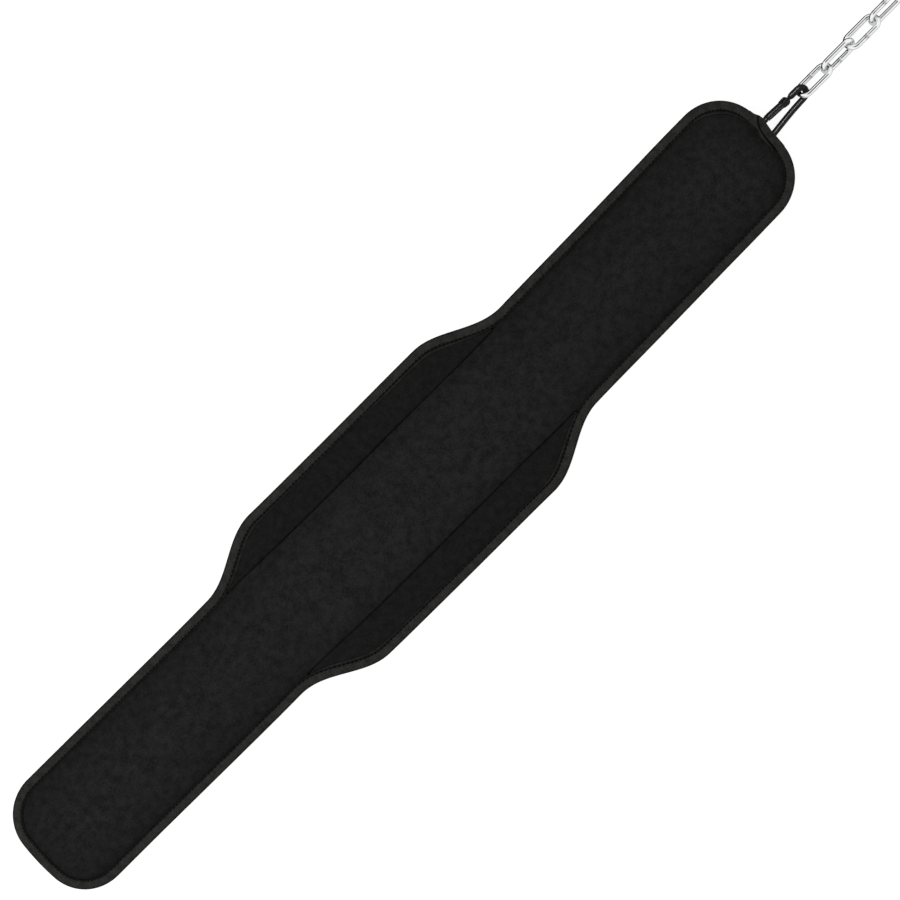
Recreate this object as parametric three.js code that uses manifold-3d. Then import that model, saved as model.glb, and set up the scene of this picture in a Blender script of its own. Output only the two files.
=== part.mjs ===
// Dip belt: a padded waist belt with a bound edge, a snap hook under one tip and the chain
// that hangs from it. It lies flat with its lining up: +X runs along the belt towards the
// hook, +Y across it, +Z up, in millimetres.
import * as THREE from 'three';
import { mergeVertices } from 'three/addons/utils/BufferGeometryUtils.js';
import Module from 'manifold-3d';

const wasm = await Module();
wasm.setup();

// Belt outline
const belt_length = 812.8;
const back_width = 156;
const strap_width = 105;
const back_flat_length = 182;
const shoulder_length = 73;
const tip_corner_radius = 38;
const tip_face_radius = 200;

// Padding
const centre_thickness = 8.2;
const wing_thickness = 6.4;
const seam_offset = 44.7;
const seam_groove_depth = 2.2;
const wing_seam_drop = 1.1;
const seat_gap = 0.3;

// Edge tape, folded over the padding's rim
const tape_width = 9;
const tape_roll_height = 5.4;
const tape_thickness = 1;
const stitch_inset = 7.2;
const stitch_dent = 0.6;
const rim_thickness = 2.4;
const tape_fold_depth = 1.9;
const tape_lap_length = 34;
const tape_lap_shift = -0.5;
const tape_lap_thickness = 0.8;
const tape_lap_extra = 0.8;

// Lift of the two tips over what lies under them
const hook_tip_lift = 15.7;
const hook_tip_run = 104;
const plain_tip_lift = 6.2;
const plain_tip_run = 84;
const tip_rest = 6;

// Hidden webbing loops, one under each tip
const loop_width = 8;
const loop_thickness = 1.3;
const hook_loop_tail = 45;
const plain_loop_tail = 28;
const plain_loop_inset = 12;
const plain_eye_radius = 1;

// Snap hook
const hook_length = 61.7;
const hook_shown = 43.9;
const hook_wire = 4.9;
const hook_nose_radius = 5;
const hook_eye_radius = 8.3;
const hook_nose_swell = 1.06;
const hook_across = 3.2;
const hook_roll = THREE.MathUtils.degToRad(34.7);
const hook_tilt = THREE.MathUtils.degToRad(1.15);
const hook_yaw = THREE.MathUtils.degToRad(1.6);

// Gate and its rivet
const gate_pin_back = 17.9;
const gate_length = 19.6;
const gate_width = 5.2;
const gate_fork_radius = 3.4;
const gate_fork_height = 5.2;
const gate_slot_height = 2.2;
const neck_height = 1.6;
const neck_width = 4.2;
const rivet_radius = 0.8;
const rivet_head_radius = 1.7;
const rivet_head_height = 0.5;
const neck_clearance = 1.1;
const neck_bite = 0.8;
const arm_taper = 1.2;
const gate_bar_start = 0.5;
const hook_ground_gap = 0.02;

// Chain
const link_wire = 4.2;
const link_width = 15.9;
const link_inner_length = 26.15;
const link_slack = 0.45;
const link_play = 1.1;
const chain_ground_gap = 0.05;

// Facets
const rod_sides = 10;
const link_sides = 6;
const shoulder_steps = 13;
const corner_steps = 8;
const lifted_step = 10.5;
const shoulder_step = 4;
const webbing_step = 9;
const tip_face_steps = 3;
const lifted_steps = 7;
const lap_steps = 6;
const eye_steps = 8;
const hook_bend_steps = 8;
const link_bend_steps = 7;
const pin_sides = 12;
const fork_sides = 16;
const search_step = 0.25;

// How each link of the chain lies: its roll, its place across the belt and how far it sinks
// below its neighbours
const chain_route = [
  { roll: -39.5, across: 3.1, sink: 0.65 },
  { roll: 54.8, across: 3.4, sink: 0 },
  { roll: -27.5, across: 3.5, sink: 0 },
  { roll: 55.1, across: 3.7, sink: 0 },
];

// Arms of the snap hook between its nose and its eye: share of the way back, share of the
// growth in half width
const hook_arms = [
  { back: 0, spread: 0 },
  { back: 0.2, spread: 0.06 },
  { back: 0.32, spread: 0.13 },
  { back: 0.55, spread: 0.39 },
  { back: 0.8, spread: 0.74 },
  { back: 1, spread: 1 },
];

// Crown of the centre band: share of its half width, share of its rise above the edge
const centre_crown = [
  { out: 0, rise: 1 },
  { out: 0.4, rise: 0.97 },
  { out: 0.7, rise: 0.86 },
  { out: 0.87, rise: 0.68 },
  { out: 0.96, rise: 0.38 },
  { out: 1, rise: 0 },
];

// Crown of a wing: share of the way from the seam to the tape, share of its rise
const wing_crown = [
  { out: 0, rise: 0 },
  { out: 0.06, rise: 0.5 },
  { out: 0.2, rise: 0.9 },
  { out: 0.55, rise: 1 },
  { out: 0.85, rise: 0.7 },
  { out: 1, rise: 0 },
];

// Slices of the centre band behind a tip: share of the way from the tape to the full crown
const tip_slices = [0, 0.04, 0.15, 0.35, 0.65, 1];

const belt_half = belt_length / 2;
const back_half = back_flat_length / 2;
const shoulder_end = back_half + shoulder_length;
const strap_half = strap_width / 2;
const wing_reach = back_width / 2;
const rim_low = tape_thickness + seat_gap;
const rim_high = rim_low + rim_thickness;
const slot_high = rim_high + seat_gap;
const rim_inset = tape_fold_depth + seat_gap;
const tape_wall = tape_width + seat_gap;
const tape_face = slot_high + tape_thickness;
const pad_at_tape = tape_face;

const surface = (color, roughness, metalness) => (
  new THREE.MeshStandardMaterial({ color, roughness, metalness })
);
const lining_cloth = surface(0x23231f, 0.9, 0);
const tape_cloth = surface(0x2b2a28, 0.95, 0);
const webbing_cloth = surface(0x1c1c1c, 0.9, 0);
const black_steel = surface(0x141414, 0.4, 0.6);
const zinc_steel = surface(0xc9ccd0, 0.25, 1);

// Smooth step from 0 to 1
const ease = (share) => {
  const s = THREE.MathUtils.clamp(share, 0, 1);
  return s * s * (3 - 2 * s);
};

// Place along the belt where its tips start to lift
const lift_start = belt_half - tip_rest - Math.max(hook_tip_run, plain_tip_run);

// Height of the belt's underside above the ground at a place along it
const lift = (x) => {
  const hook_side = hook_tip_lift * ease((x - (belt_half - tip_rest - hook_tip_run)) / hook_tip_run);
  const plain_side = plain_tip_lift * ease((-x - (belt_half - tip_rest - plain_tip_run)) / plain_tip_run);
  return hook_side + plain_side;
};

// Turns a list of points and faces into a closed three.js geometry with its faces pointing out
function closedGeometry(points, faces) {
  const positions = new Float32Array(points.flatMap((p) => [p.x, p.y, p.z]));
  let volume = 0;
  for (const [a, b, c] of faces) {
    volume += points[a].dot(new THREE.Vector3().crossVectors(points[b], points[c]));
  }
  const index = faces.flatMap(([a, b, c]) => (volume > 0 ? [a, b, c] : [a, c, b]));
  const geometry = new THREE.BufferGeometry();
  geometry.setAttribute('position', new THREE.BufferAttribute(positions, 3));
  geometry.setIndex(index);
  return geometry;
}

// Triangles that fill a flat section, wound the way its points run
function sectionFaces(section) {
  const winding = Math.sign(THREE.ShapeUtils.area(section));
  return THREE.ShapeUtils.triangulateShape(section, []).map(([a, b, c]) => {
    const turn = Math.sign(THREE.ShapeUtils.area([section[a], section[b], section[c]]));
    return turn === winding ? [a, b, c] : [a, c, b];
  });
}

// Skins a row of rings that have the same number of points, closed on itself or capped at both ends
function skinRings(rings, closed, section) {
  const count = rings[0].length;
  const points = rings.flat();
  const faces = [];
  const spans = closed ? rings.length : rings.length - 1;
  for (let i = 0; i < spans; i += 1) {
    const here = i * count;
    const next = ((i + 1) % rings.length) * count;
    for (let k = 0; k < count; k += 1) {
      const l = (k + 1) % count;
      faces.push([here + k, next + k, next + l]);
      faces.push([here + k, next + l, here + l]);
    }
  }
  if (!closed) {
    const caps = [
      { ring: rings[0], base: 0, flip: false },
      { ring: rings[rings.length - 1], base: (rings.length - 1) * count, flip: true },
    ];
    for (const { ring, base, flip } of caps) {
      if (section) {
        sectionFaces(section).forEach(([a, b, c]) => {
          faces.push(flip ? [base + a, base + c, base + b] : [base + a, base + b, base + c]);
        });
        continue;
      }
      const middle = new THREE.Vector3();
      ring.forEach((p) => middle.addScaledVector(p, 1 / count));
      const hub = points.push(middle) - 1;
      for (let k = 0; k < count; k += 1) {
        const l = (k + 1) % count;
        faces.push(flip ? [hub, base + l, base + k] : [hub, base + k, base + l]);
      }
    }
  }
  return closedGeometry(points, faces);
}

// Rod along a flat path in its own XY plane; each stop holds its half width and half height
function rodGeometry(path, sides, closed) {
  const rings = path.map((stop, i) => {
    const before = path[closed ? (i + path.length - 1) % path.length : Math.max(i - 1, 0)];
    const after = path[closed ? (i + 1) % path.length : Math.min(i + 1, path.length - 1)];
    const along = new THREE.Vector2(after.x - before.x, after.y - before.y).normalize();
    const ring = [];
    for (let k = 0; k < sides; k += 1) {
      const turn = ((k + 0.5) / sides) * 2 * Math.PI;
      const out = stop.wide * Math.cos(turn);
      const up = stop.high * Math.sin(turn);
      ring.push(new THREE.Vector3(stop.x + along.y * out, stop.y - along.x * out, up));
    }
    return ring;
  });
  return skinRings(rings, closed);
}

function toManifold(geometry) {
  const plain = geometry.clone();
  plain.deleteAttribute('normal');
  plain.deleteAttribute('uv');
  const merged = mergeVertices(plain, 1e-4);
  const mesh = new wasm.Mesh({
    numProp: 3,
    vertProperties: new Float32Array(merged.attributes.position.array),
    triVerts: new Uint32Array(merged.index.array),
  });
  return new wasm.Manifold(mesh);
}

function fromManifold(solid) {
  const mesh = solid.getMesh();
  const geometry = new THREE.BufferGeometry();
  geometry.setAttribute('position', new THREE.BufferAttribute(new Float32Array(mesh.vertProperties), 3));
  geometry.setIndex(new THREE.BufferAttribute(new Uint32Array(mesh.triVerts), 1));
  return geometry;
}

// Half width of the belt's outline at a place along its straight sides and shoulders
function sideReach(x) {
  const share = THREE.MathUtils.clamp((Math.abs(x) - back_half) / shoulder_length, 0, 1);
  return strap_half + (wing_reach - strap_half) * 0.5 * (1 + Math.cos(Math.PI * share));
}

// Quarter of the outline, from the middle of a tip's face round its corner to the middle of the back
function quarterOutline(steps) {
  const corner_y = strap_half - tip_corner_radius;
  const face_gap = tip_face_radius - tip_corner_radius;
  const corner_x = belt_half - tip_face_radius + Math.sqrt(face_gap ** 2 - corner_y ** 2);
  const corner_start = Math.asin(corner_y / face_gap);
  const stops = [];
  for (let i = 0; i < steps.face; i += 1) {
    const turn = (corner_start * i) / steps.face;
    const back = tip_face_radius * (1 - Math.cos(turn));
    const y = tip_face_radius * Math.sin(turn);
    stops.push({ x: belt_half - back, y, nx: Math.cos(turn), ny: Math.sin(turn) });
  }
  for (let i = 0; i <= steps.corner; i += 1) {
    const turn = corner_start + ((Math.PI / 2 - corner_start) * i) / steps.corner;
    const nx = Math.cos(turn);
    const ny = Math.sin(turn);
    stops.push({ x: corner_x + tip_corner_radius * nx, y: corner_y + tip_corner_radius * ny, nx, ny });
  }
  for (let i = 1; i <= steps.lifted; i += 1) {
    stops.push({ x: corner_x + ((lift_start - corner_x) * i) / steps.lifted, y: strap_half, nx: 0, ny: 1 });
  }
  for (let i = 0; i <= steps.shoulder; i += 1) {
    const x = shoulder_end - (shoulder_length * i) / steps.shoulder;
    const share = (x - back_half) / shoulder_length;
    const slope = (-(wing_reach - strap_half) * 0.5 * Math.PI * Math.sin(Math.PI * share)) / shoulder_length;
    const size = Math.hypot(slope, 1);
    stops.push({ x, y: sideReach(x), nx: -slope / size, ny: 1 / size });
  }
  for (let i = 1; i <= steps.back; i += 1) {
    stops.push({ x: back_half * (1 - i / steps.back), y: wing_reach, nx: 0, ny: 1 });
  }
  return stops;
}

// Whole outline, anticlockwise from the middle of the hook tip's face
function wholeOutline(steps) {
  const quarter = quarterOutline(steps);
  const flipX = quarter.slice(0, -1).reverse().map((s) => ({ x: -s.x, y: s.y, nx: -s.nx, ny: s.ny }));
  const upper = [...quarter, ...flipX];
  const lower = upper.slice(1, -1).reverse().map((s) => ({ x: s.x, y: -s.y, nx: s.nx, ny: -s.ny }));
  return [...upper, ...lower];
}

// Half width at x of the outline moved in by an inset
const fine_quarter = quarterOutline({ face: 24, corner: 48, lifted: 2, shoulder: 60, back: 4 });
const insetReach = (inset, x) => {
  const place = Math.abs(x);
  let reach = 0;
  for (let i = 0; i < fine_quarter.length - 1; i += 1) {
    const a = fine_quarter[i];
    const b = fine_quarter[i + 1];
    const ax = a.x - a.nx * inset;
    const bx = b.x - b.nx * inset;
    if (place <= ax && place >= bx && ax > bx) {
      const share = (ax - place) / (ax - bx);
      reach = THREE.MathUtils.lerp(a.y - a.ny * inset, b.y - b.ny * inset, share);
    }
  }
  return reach;
};

// Where the wings start: the tape's free edge has just come outside the seam
const wing_least_width = 1;
let wing_start = shoulder_end;
const wing_least_reach = seam_offset + seat_gap / 2 + wing_least_width;
while (wing_start > back_half && insetReach(tape_wall, wing_start) < wing_least_reach) {
  wing_start -= search_step;
}

// Places along the belt where its padding is sliced, closest where the tips lift and round the shoulders
function sliceRow(first, last, step) {
  const count = Math.max(1, Math.ceil((last - first) / step));
  return Array.from({ length: count + 1 }, (_, i) => first + ((last - first) * i) / count);
}

const at = (x, y, z) => new THREE.Vector3(x, y, z + lift(x));

// The padding reaches its full height just inside the tape at the tips
const sliver = 0.05;
const rim_step = 10 * sliver;
const first_full_slice = belt_half - tape_wall - 2 * sliver;
const tip_crown_run = strap_half / 2;

// Full ring round a slice of the centre band, mirrored about its middle
function centreRing(x, mode) {
  const rim = mode === 'wide' ? 0 : insetReach(rim_inset, x);
  const seam = seam_offset - seat_gap / 2;
  const slice_edge = mode === 'rim' ? insetReach(tape_wall, first_full_slice) : insetReach(tape_wall, x);
  const edge = mode === 'wide' ? seam : Math.min(seam, slice_edge);
  const to_tip = belt_half - tape_wall - Math.abs(x);
  const tip_share = THREE.MathUtils.clamp(1 - to_tip / tip_crown_run, 0, 1);
  const tip_rise = crownRise(centre_crown, tip_share);
  const edge_height = mode === 'wide' ? centre_thickness - seam_groove_depth : pad_at_tape;
  const half = [];
  if (mode === 'rim') {
    const shy = edge + rim_step;
    centre_crown.forEach(({ out }) => half.push([edge * out, rim_high]));
    half.push([shy, rim_high], [rim, rim_high], [rim, rim_low], [shy, rim_low], [edge, rim_low]);
  } else {
    centre_crown.forEach(({ out, rise }) => {
      half.push([edge * out, edge_height + (centre_thickness - edge_height) * rise * tip_rise]);
    });
    if (mode === 'wide') {
      const wall = [rim_high, rim_high - seat_gap, rim_low + seat_gap, rim_low, 0];
      wall.forEach((height) => half.push([edge, height]));
    } else {
      half.push([edge, rim_high], [rim, rim_high], [rim, rim_low], [edge, rim_low], [edge, 0]);
    }
  }
  const right = half.map(([y, z]) => at(x, y, z));
  const left = half.slice(1).reverse().map(([y, z]) => at(x, -y, z));
  return [...right, ...left];
}

// Height share of a crown table at a share of the way out
function crownRise(table, out) {
  for (let i = 0; i < table.length - 1; i += 1) {
    const a = table[i];
    const b = table[i + 1];
    if (out <= b.out) {
      return THREE.MathUtils.lerp(a.rise, b.rise, (out - a.out) / (b.out - a.out));
    }
  }
  return table[table.length - 1].rise;
}

// The band that runs the whole length of the belt, crowned between the two seams
function centreBand() {
  const tip = belt_half - rim_inset - 3 * sliver;
  const wall = first_full_slice;
  const rings = [];
  const half_rows = [
    { x: tip, mode: 'rim' },
    { x: (tip + wall) / 2, mode: 'rim' },
    { x: wall + sliver, mode: 'rim' },
  ];
  const after_tip = wall - tip_crown_run;
  tip_slices.forEach((share) => half_rows.push({ x: wall - (wall - after_tip) * share, mode: 'strap' }));
  sliceRow(0, after_tip - lift_start, lifted_step).slice(1)
    .forEach((d) => half_rows.push({ x: after_tip - d, mode: 'strap' }));
  const strap_stop = wing_start + seat_gap + sliver;
  sliceRow(0, shoulder_end - strap_stop, shoulder_step)
    .forEach((d) => half_rows.push({ x: shoulder_end - d, mode: 'strap' }));
  half_rows.push({ x: strap_stop - sliver, mode: 'wide' });
  half_rows.push({ x: back_half, mode: 'wide' });
  half_rows.forEach(({ x, mode }) => rings.push(centreRing(-x, mode)));
  rings.push(centreRing(0, 'wide'));
  half_rows.reverse().forEach(({ x, mode }) => rings.push(centreRing(x, mode)));
  return skinRings(rings, false);
}

// Section of a wing at a place along the belt, between the seam and the tape
const wing_fade = tape_width * 1.5;
function wingSection(x) {
  const seam = seam_offset + seat_gap / 2;
  const rim = insetReach(rim_inset, x);
  const edge = insetReach(tape_wall, x);
  const seam_height = centre_thickness - seam_groove_depth - wing_seam_drop;
  const fullness = Math.min(1, (edge - seam) / wing_fade);
  const ring = wing_crown.map(({ out, rise }) => {
    const base = THREE.MathUtils.lerp(seam_height, pad_at_tape, out);
    return [THREE.MathUtils.lerp(seam, edge, out), base + (wing_thickness - base) * rise * fullness];
  });
  ring.push([edge, rim_high], [rim, rim_high], [rim, rim_low], [edge, rim_low], [edge, 0], [seam, 0]);
  return ring;
}

// The padding outside a seam, from shoulder to shoulder
function wing(side) {
  const half_rows = sliceRow(0, wing_start - back_half, shoulder_length / shoulder_steps)
    .map((d) => wing_start - d);
  const places = [...half_rows.map((x) => -x), 0, ...half_rows.reverse()];
  const rings = places.map((x) => wingSection(x).map(([y, z]) => at(x, side * y, z)));
  return skinRings(rings, false, wingSection(wing_start).map(([y, z]) => new THREE.Vector2(y, z)));
}

// Section of the folded tape: inset from the outline, height
const roll_mid = tape_roll_height / 2;
const tape_section = [
  { inset: tape_width, high: 0 },
  { inset: tape_roll_height * 0.5, high: 0 },
  { inset: tape_roll_height * 0.14, high: tape_roll_height * 0.14 },
  { inset: 0, high: roll_mid },
  { inset: tape_roll_height * 0.14, high: tape_roll_height * 0.86 },
  { inset: tape_roll_height * 0.5, high: tape_roll_height },
  { inset: stitch_inset, high: tape_roll_height - stitch_dent },
  { inset: tape_width, high: tape_face },
  { inset: tape_width, high: slot_high },
  { inset: rim_inset - seat_gap, high: slot_high },
  { inset: tape_thickness, high: roll_mid },
  { inset: rim_inset - seat_gap, high: tape_thickness },
  { inset: tape_width, high: tape_thickness },
];

function edgeBinding() {
  const steps = {
    face: tip_face_steps,
    corner: corner_steps,
    lifted: lifted_steps,
    shoulder: shoulder_steps,
    back: 1,
  };
  const outline = wholeOutline(steps);
  const rings = outline.map((stop) => tape_section.map(({ inset, high }) => (
    at(stop.x - stop.nx * inset, stop.y - stop.ny * inset, high)
  )));
  return skinRings(rings, true);
}

// Section of the tape's lapped end, wrapped over the tape at the hook tip
const lap_out = seat_gap + tape_lap_thickness;
const lap_section = [
  { inset: tape_width * 0.7, high: -seat_gap - tape_lap_thickness },
  { inset: tape_roll_height * 0.4, high: -seat_gap - tape_lap_thickness },
  { inset: -lap_out * 0.6, high: tape_roll_height * 0.06 },
  { inset: -lap_out, high: roll_mid },
  { inset: -lap_out * 0.6, high: tape_roll_height * 0.94 },
  { inset: tape_roll_height * 0.4, high: tape_roll_height + lap_out },
  { inset: stitch_inset - 2 * stitch_dent, high: tape_roll_height + lap_out },
  { inset: stitch_inset + seat_gap, high: tape_roll_height + lap_out - stitch_dent * 0.6 },
  { inset: tape_width + tape_lap_extra, high: tape_roll_height + lap_out + 2 * seat_gap },
  { inset: tape_width + tape_lap_extra, high: tape_roll_height + 3 * seat_gap },
  { inset: tape_roll_height * 0.5 - seat_gap, high: tape_roll_height + seat_gap },
  { inset: tape_roll_height * 0.14 - seat_gap, high: tape_roll_height * 0.94 },
  { inset: -seat_gap, high: roll_mid },
  { inset: tape_roll_height * 0.14 - seat_gap, high: tape_roll_height * 0.06 },
  { inset: tape_roll_height * 0.5 - seat_gap, high: -seat_gap },
  { inset: tape_width * 0.7, high: -seat_gap },
];

function tapeLap() {
  const rings = [];
  for (let i = 0; i <= lap_steps; i += 1) {
    const y = tape_lap_shift + tape_lap_length * (i / lap_steps - 0.5);
    const turn = Math.asin(y / tip_face_radius);
    const x = belt_half - tip_face_radius * (1 - Math.cos(turn));
    rings.push(lap_section.map(({ inset, high }) => (
      at(x - Math.cos(turn) * inset, y - Math.sin(turn) * inset, high)
    )));
  }
  return skinRings(rings, false, lap_section.map(({ inset, high }) => new THREE.Vector2(inset, high)));
}

// Flat webbing folded into a long loop in the XZ plane; its eye can be rolled with the hook that it holds
function webbingLoop(eye, side) {
  const ride = eye.radius + loop_thickness / 2;
  const inside = Math.abs(eye.x) - ride * 2 - loop_width;
  const tail = Math.abs(eye.x) - eye.tail;
  const upper = (x) => lift(side * x) - seat_gap - loop_thickness / 2 - eye.z;
  const lower = (x) => upper(x) - loop_thickness - seat_gap;
  const row = sliceRow(tail, inside, webbing_step);
  const path = [];
  row.forEach((x) => path.push({ x, v: upper(x), twist: 0 }));
  for (let i = 0; i <= eye_steps; i += 1) {
    const turn = Math.PI * (0.5 - i / eye_steps);
    path.push({ x: Math.abs(eye.x) + ride * Math.cos(turn), v: ride * Math.sin(turn), twist: 1 });
  }
  [...row].reverse().forEach((x) => path.push({ x, v: lower(x), twist: 0 }));
  const fold = (upper(tail) + lower(tail)) / 2;
  path.push({ x: tail - (loop_thickness + seat_gap) / 2, v: fold, twist: 0 });
  const rings = path.map((stop, i) => {
    const before = path[(i + path.length - 1) % path.length];
    const after = path[(i + 1) % path.length];
    const along = new THREE.Vector2(after.x - before.x, after.v - before.v).normalize();
    const roll = eye.roll * stop.twist;
    const corners = [[-1, -1], [1, -1], [1, 1], [-1, 1]];
    return corners.map(([wide, thick]) => {
      const x = stop.x - (along.y * thick * loop_thickness) / 2;
      const v = stop.v + (along.x * thick * loop_thickness) / 2;
      const w = (wide * loop_width) / 2;
      const y = eye.y + w * Math.cos(roll) - v * Math.sin(roll);
      return new THREE.Vector3(side * x, y, eye.z + w * Math.sin(roll) + v * Math.cos(roll));
    });
  });
  return skinRings(rings, true);
}

// Snap hook in its own plane: x runs back from the nose as a negative number, the gate's arm
// has positive y
const hook_run = hook_length - hook_wire;
const nose_centre = -hook_nose_radius;
const eye_centre = -hook_run + hook_eye_radius;
const arm_stops = hook_arms.map(({ back, spread }) => ({
  x: THREE.MathUtils.lerp(nose_centre, eye_centre, back),
  y: THREE.MathUtils.lerp(hook_nose_radius, hook_eye_radius, spread),
}));
const armReach = (x) => {
  for (let i = 0; i < arm_stops.length - 1; i += 1) {
    const a = arm_stops[i];
    const b = arm_stops[i + 1];
    if (x >= b.x) {
      return THREE.MathUtils.lerp(a.y, b.y, (a.x - x) / (a.x - b.x));
    }
  }
  return hook_eye_radius;
};
const gate_tip = -gate_pin_back - gate_length;
const hook_half = hook_wire / 2;
const pin_y = armReach(-gate_pin_back);
const arm_slope = Math.atan2(armReach(gate_tip) - pin_y, gate_length);

function hookPath() {
  const stops = [];
  const neck_end = -gate_pin_back + gate_fork_radius + neck_clearance;
  stops.push({ x: neck_end, y: armReach(neck_end), wide: hook_half * 0.8, high: hook_half * 0.8 });
  const full = neck_end + arm_taper;
  stops.push({ x: full, y: armReach(full), wide: hook_half * 1.1, high: hook_half });
  const bend = hook_bend_steps;
  for (let i = 0; i <= bend; i += 1) {
    const turn = Math.PI * (0.5 - i / bend);
    const swell = 1 + (hook_nose_swell - 1) * Math.max(0, Math.sin(turn));
    const x = nose_centre + hook_nose_radius * Math.cos(turn);
    stops.push({ x, y: hook_nose_radius * Math.sin(turn), wide: hook_half * swell, high: hook_half });
  }
  arm_stops.slice(1, -1).forEach(({ x, y }) => stops.push({ x, y: -y, wide: hook_half, high: hook_half }));
  for (let i = 0; i <= bend; i += 1) {
    const turn = -Math.PI * (0.5 + i / bend);
    const x = eye_centre + hook_eye_radius * Math.cos(turn);
    stops.push({ x, y: hook_eye_radius * Math.sin(turn), wide: hook_half, high: hook_half });
  }
  const nose_end = gate_tip - seat_gap;
  stops.push({ x: nose_end, y: armReach(nose_end), wide: hook_half, high: hook_half });
  return stops;
}

// Upright disc or cylinder in the hook's own frame
function upright(radius, low, high, x, y, sides) {
  const geometry = new THREE.CylinderGeometry(radius, radius, high - low, sides);
  geometry.rotateX(Math.PI / 2);
  geometry.translate(x, y, (low + high) / 2);
  return toManifold(geometry);
}

function block(length, width, height, x, y, z, turn) {
  const geometry = new THREE.BoxGeometry(length, width, height);
  geometry.translate(x, 0, 0);
  geometry.rotateZ(turn);
  geometry.translate(0, y, z);
  return toManifold(geometry);
}

// The hook's body, with the flattened neck and the rivet that the gate turns on
function hookBody() {
  const neck_end = -gate_pin_back + gate_fork_radius + neck_clearance + neck_bite;
  const neck_length = neck_end + gate_pin_back;
  let body = toManifold(rodGeometry(hookPath(), rod_sides, false));
  const neck = block(neck_length, neck_width, neck_height, neck_length / 2, 0, 0, 0)
    .translate([-gate_pin_back, (pin_y + armReach(neck_end)) / 2, 0]);
  const neck_top = neck_height / 2;
  const neck_eye = upright(neck_width / 2, -neck_top, neck_top, -gate_pin_back, pin_y, pin_sides);
  const head_low = gate_fork_height / 2 + seat_gap;
  const head_high = head_low + rivet_head_height;
  const rivet = upright(rivet_radius, -head_high, head_high, -gate_pin_back, pin_y, pin_sides);
  const head_top = upright(rivet_head_radius, head_low, head_high, -gate_pin_back, pin_y, pin_sides);
  const head_bottom = upright(rivet_head_radius, -head_high, -head_low, -gate_pin_back, pin_y, pin_sides);
  body = body.add(neck).add(neck_eye).add(rivet).add(head_top).add(head_bottom);
  return fromManifold(body);
}

// The sprung gate: a bar with a fork that straddles the neck
function hookGate() {
  const half = gate_width / 2;
  const along = (back, wide) => ({
    x: -gate_pin_back - back,
    y: pin_y + Math.tan(arm_slope) * back,
    wide,
    high: half,
  });
  const bar_stops = [along(gate_length, half), along(gate_bar_start, half)];
  const bar = toManifold(rodGeometry(bar_stops, rod_sides, false));
  const ear_top = gate_fork_height / 2;
  const fork = upright(gate_fork_radius, -ear_top, ear_top, -gate_pin_back, pin_y, fork_sides);
  const slot_length = 4 * gate_fork_radius;
  const slot_back = gate_fork_radius * 0.75;
  const slot = block(slot_length, slot_length, gate_slot_height, slot_length / 2 - slot_back, 0, 0, 0)
    .translate([-gate_pin_back, pin_y, 0]);
  const bore = rivet_radius + seat_gap;
  const hole = upright(bore, -gate_fork_height, gate_fork_height, -gate_pin_back, pin_y, pin_sides);
  return fromManifold(bar.add(fork).subtract(slot).subtract(hole));
}

// Chain link in its own plane
function chainLink() {
  const half = link_wire / 2;
  const bend_radius = (link_width - link_wire) / 2;
  const bend_centre = (link_inner_length + link_wire) / 2 - bend_radius;
  const stops = [];
  const bend = link_bend_steps;
  for (const end of [1, -1]) {
    for (let i = 0; i <= bend; i += 1) {
      const turn = Math.PI * (i / bend - 0.5);
      const x = end * (bend_centre + bend_radius * Math.cos(turn));
      stops.push({ x, y: end * bend_radius * Math.sin(turn), wide: half, high: half });
    }
  }
  return rodGeometry(stops, link_sides, true);
}

const group = new THREE.Group();
function addMesh(name, geometry, material, parent = group) {
  const mesh = new THREE.Mesh(geometry, material);
  mesh.name = name;
  parent.add(mesh);
  return mesh;
}

addMesh('centre_band', centreBand(), lining_cloth);
addMesh('wing_left', wing(1), lining_cloth);
addMesh('wing_right', wing(-1), lining_cloth);
addMesh('edge_binding', edgeBinding(), tape_cloth);
addMesh('binding_lap', tapeLap(), tape_cloth);

// The hook leans on one arm, which rests on the ground at its lowest point
const hook_frame = new THREE.Group();
hook_frame.rotation.set(hook_roll, hook_tilt, hook_yaw, 'ZYX');
hook_frame.updateMatrix();
const hook_low = Math.min(...hookPath().map((stop) => (
  new THREE.Vector3(stop.x, stop.y, 0).applyEuler(hook_frame.rotation).z
)));
const nose_x = belt_half + hook_shown - hook_half;
const nose_y = hook_across + Math.sin(hook_yaw) * hook_nose_radius;
hook_frame.position.set(nose_x, nose_y, hook_half - hook_low + hook_ground_gap);
hook_frame.updateMatrix();
group.add(hook_frame);
addMesh('hook_body', hookBody(), black_steel, hook_frame);
addMesh('hook_gate', hookGate(), black_steel, hook_frame);

const hook_eye = new THREE.Vector3(-hook_run, 0, 0).applyMatrix4(hook_frame.matrix);
const eye_bow = hook_eye_radius - Math.sqrt(hook_eye_radius ** 2 - (loop_width / 2) ** 2);
const near_eye = {
  x: hook_eye.x + eye_bow / 2,
  y: hook_eye.y,
  z: hook_eye.z,
  radius: hook_half + eye_bow / 2 + 3 * seat_gap,
  roll: hook_roll,
  tail: hook_loop_tail,
};
addMesh('anchor_loop_hook', webbingLoop(near_eye, 1), webbing_cloth);

const plain_eye_x = belt_half - plain_loop_inset;
const plain_eye_z = lift(-plain_eye_x) - seat_gap - loop_thickness - plain_eye_radius;
const far_eye = {
  x: plain_eye_x,
  y: 0,
  z: plain_eye_z,
  radius: plain_eye_radius,
  roll: 0,
  tail: plain_loop_tail,
};
addMesh('anchor_loop_plain', webbingLoop(far_eye, -1), webbing_cloth);

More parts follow.
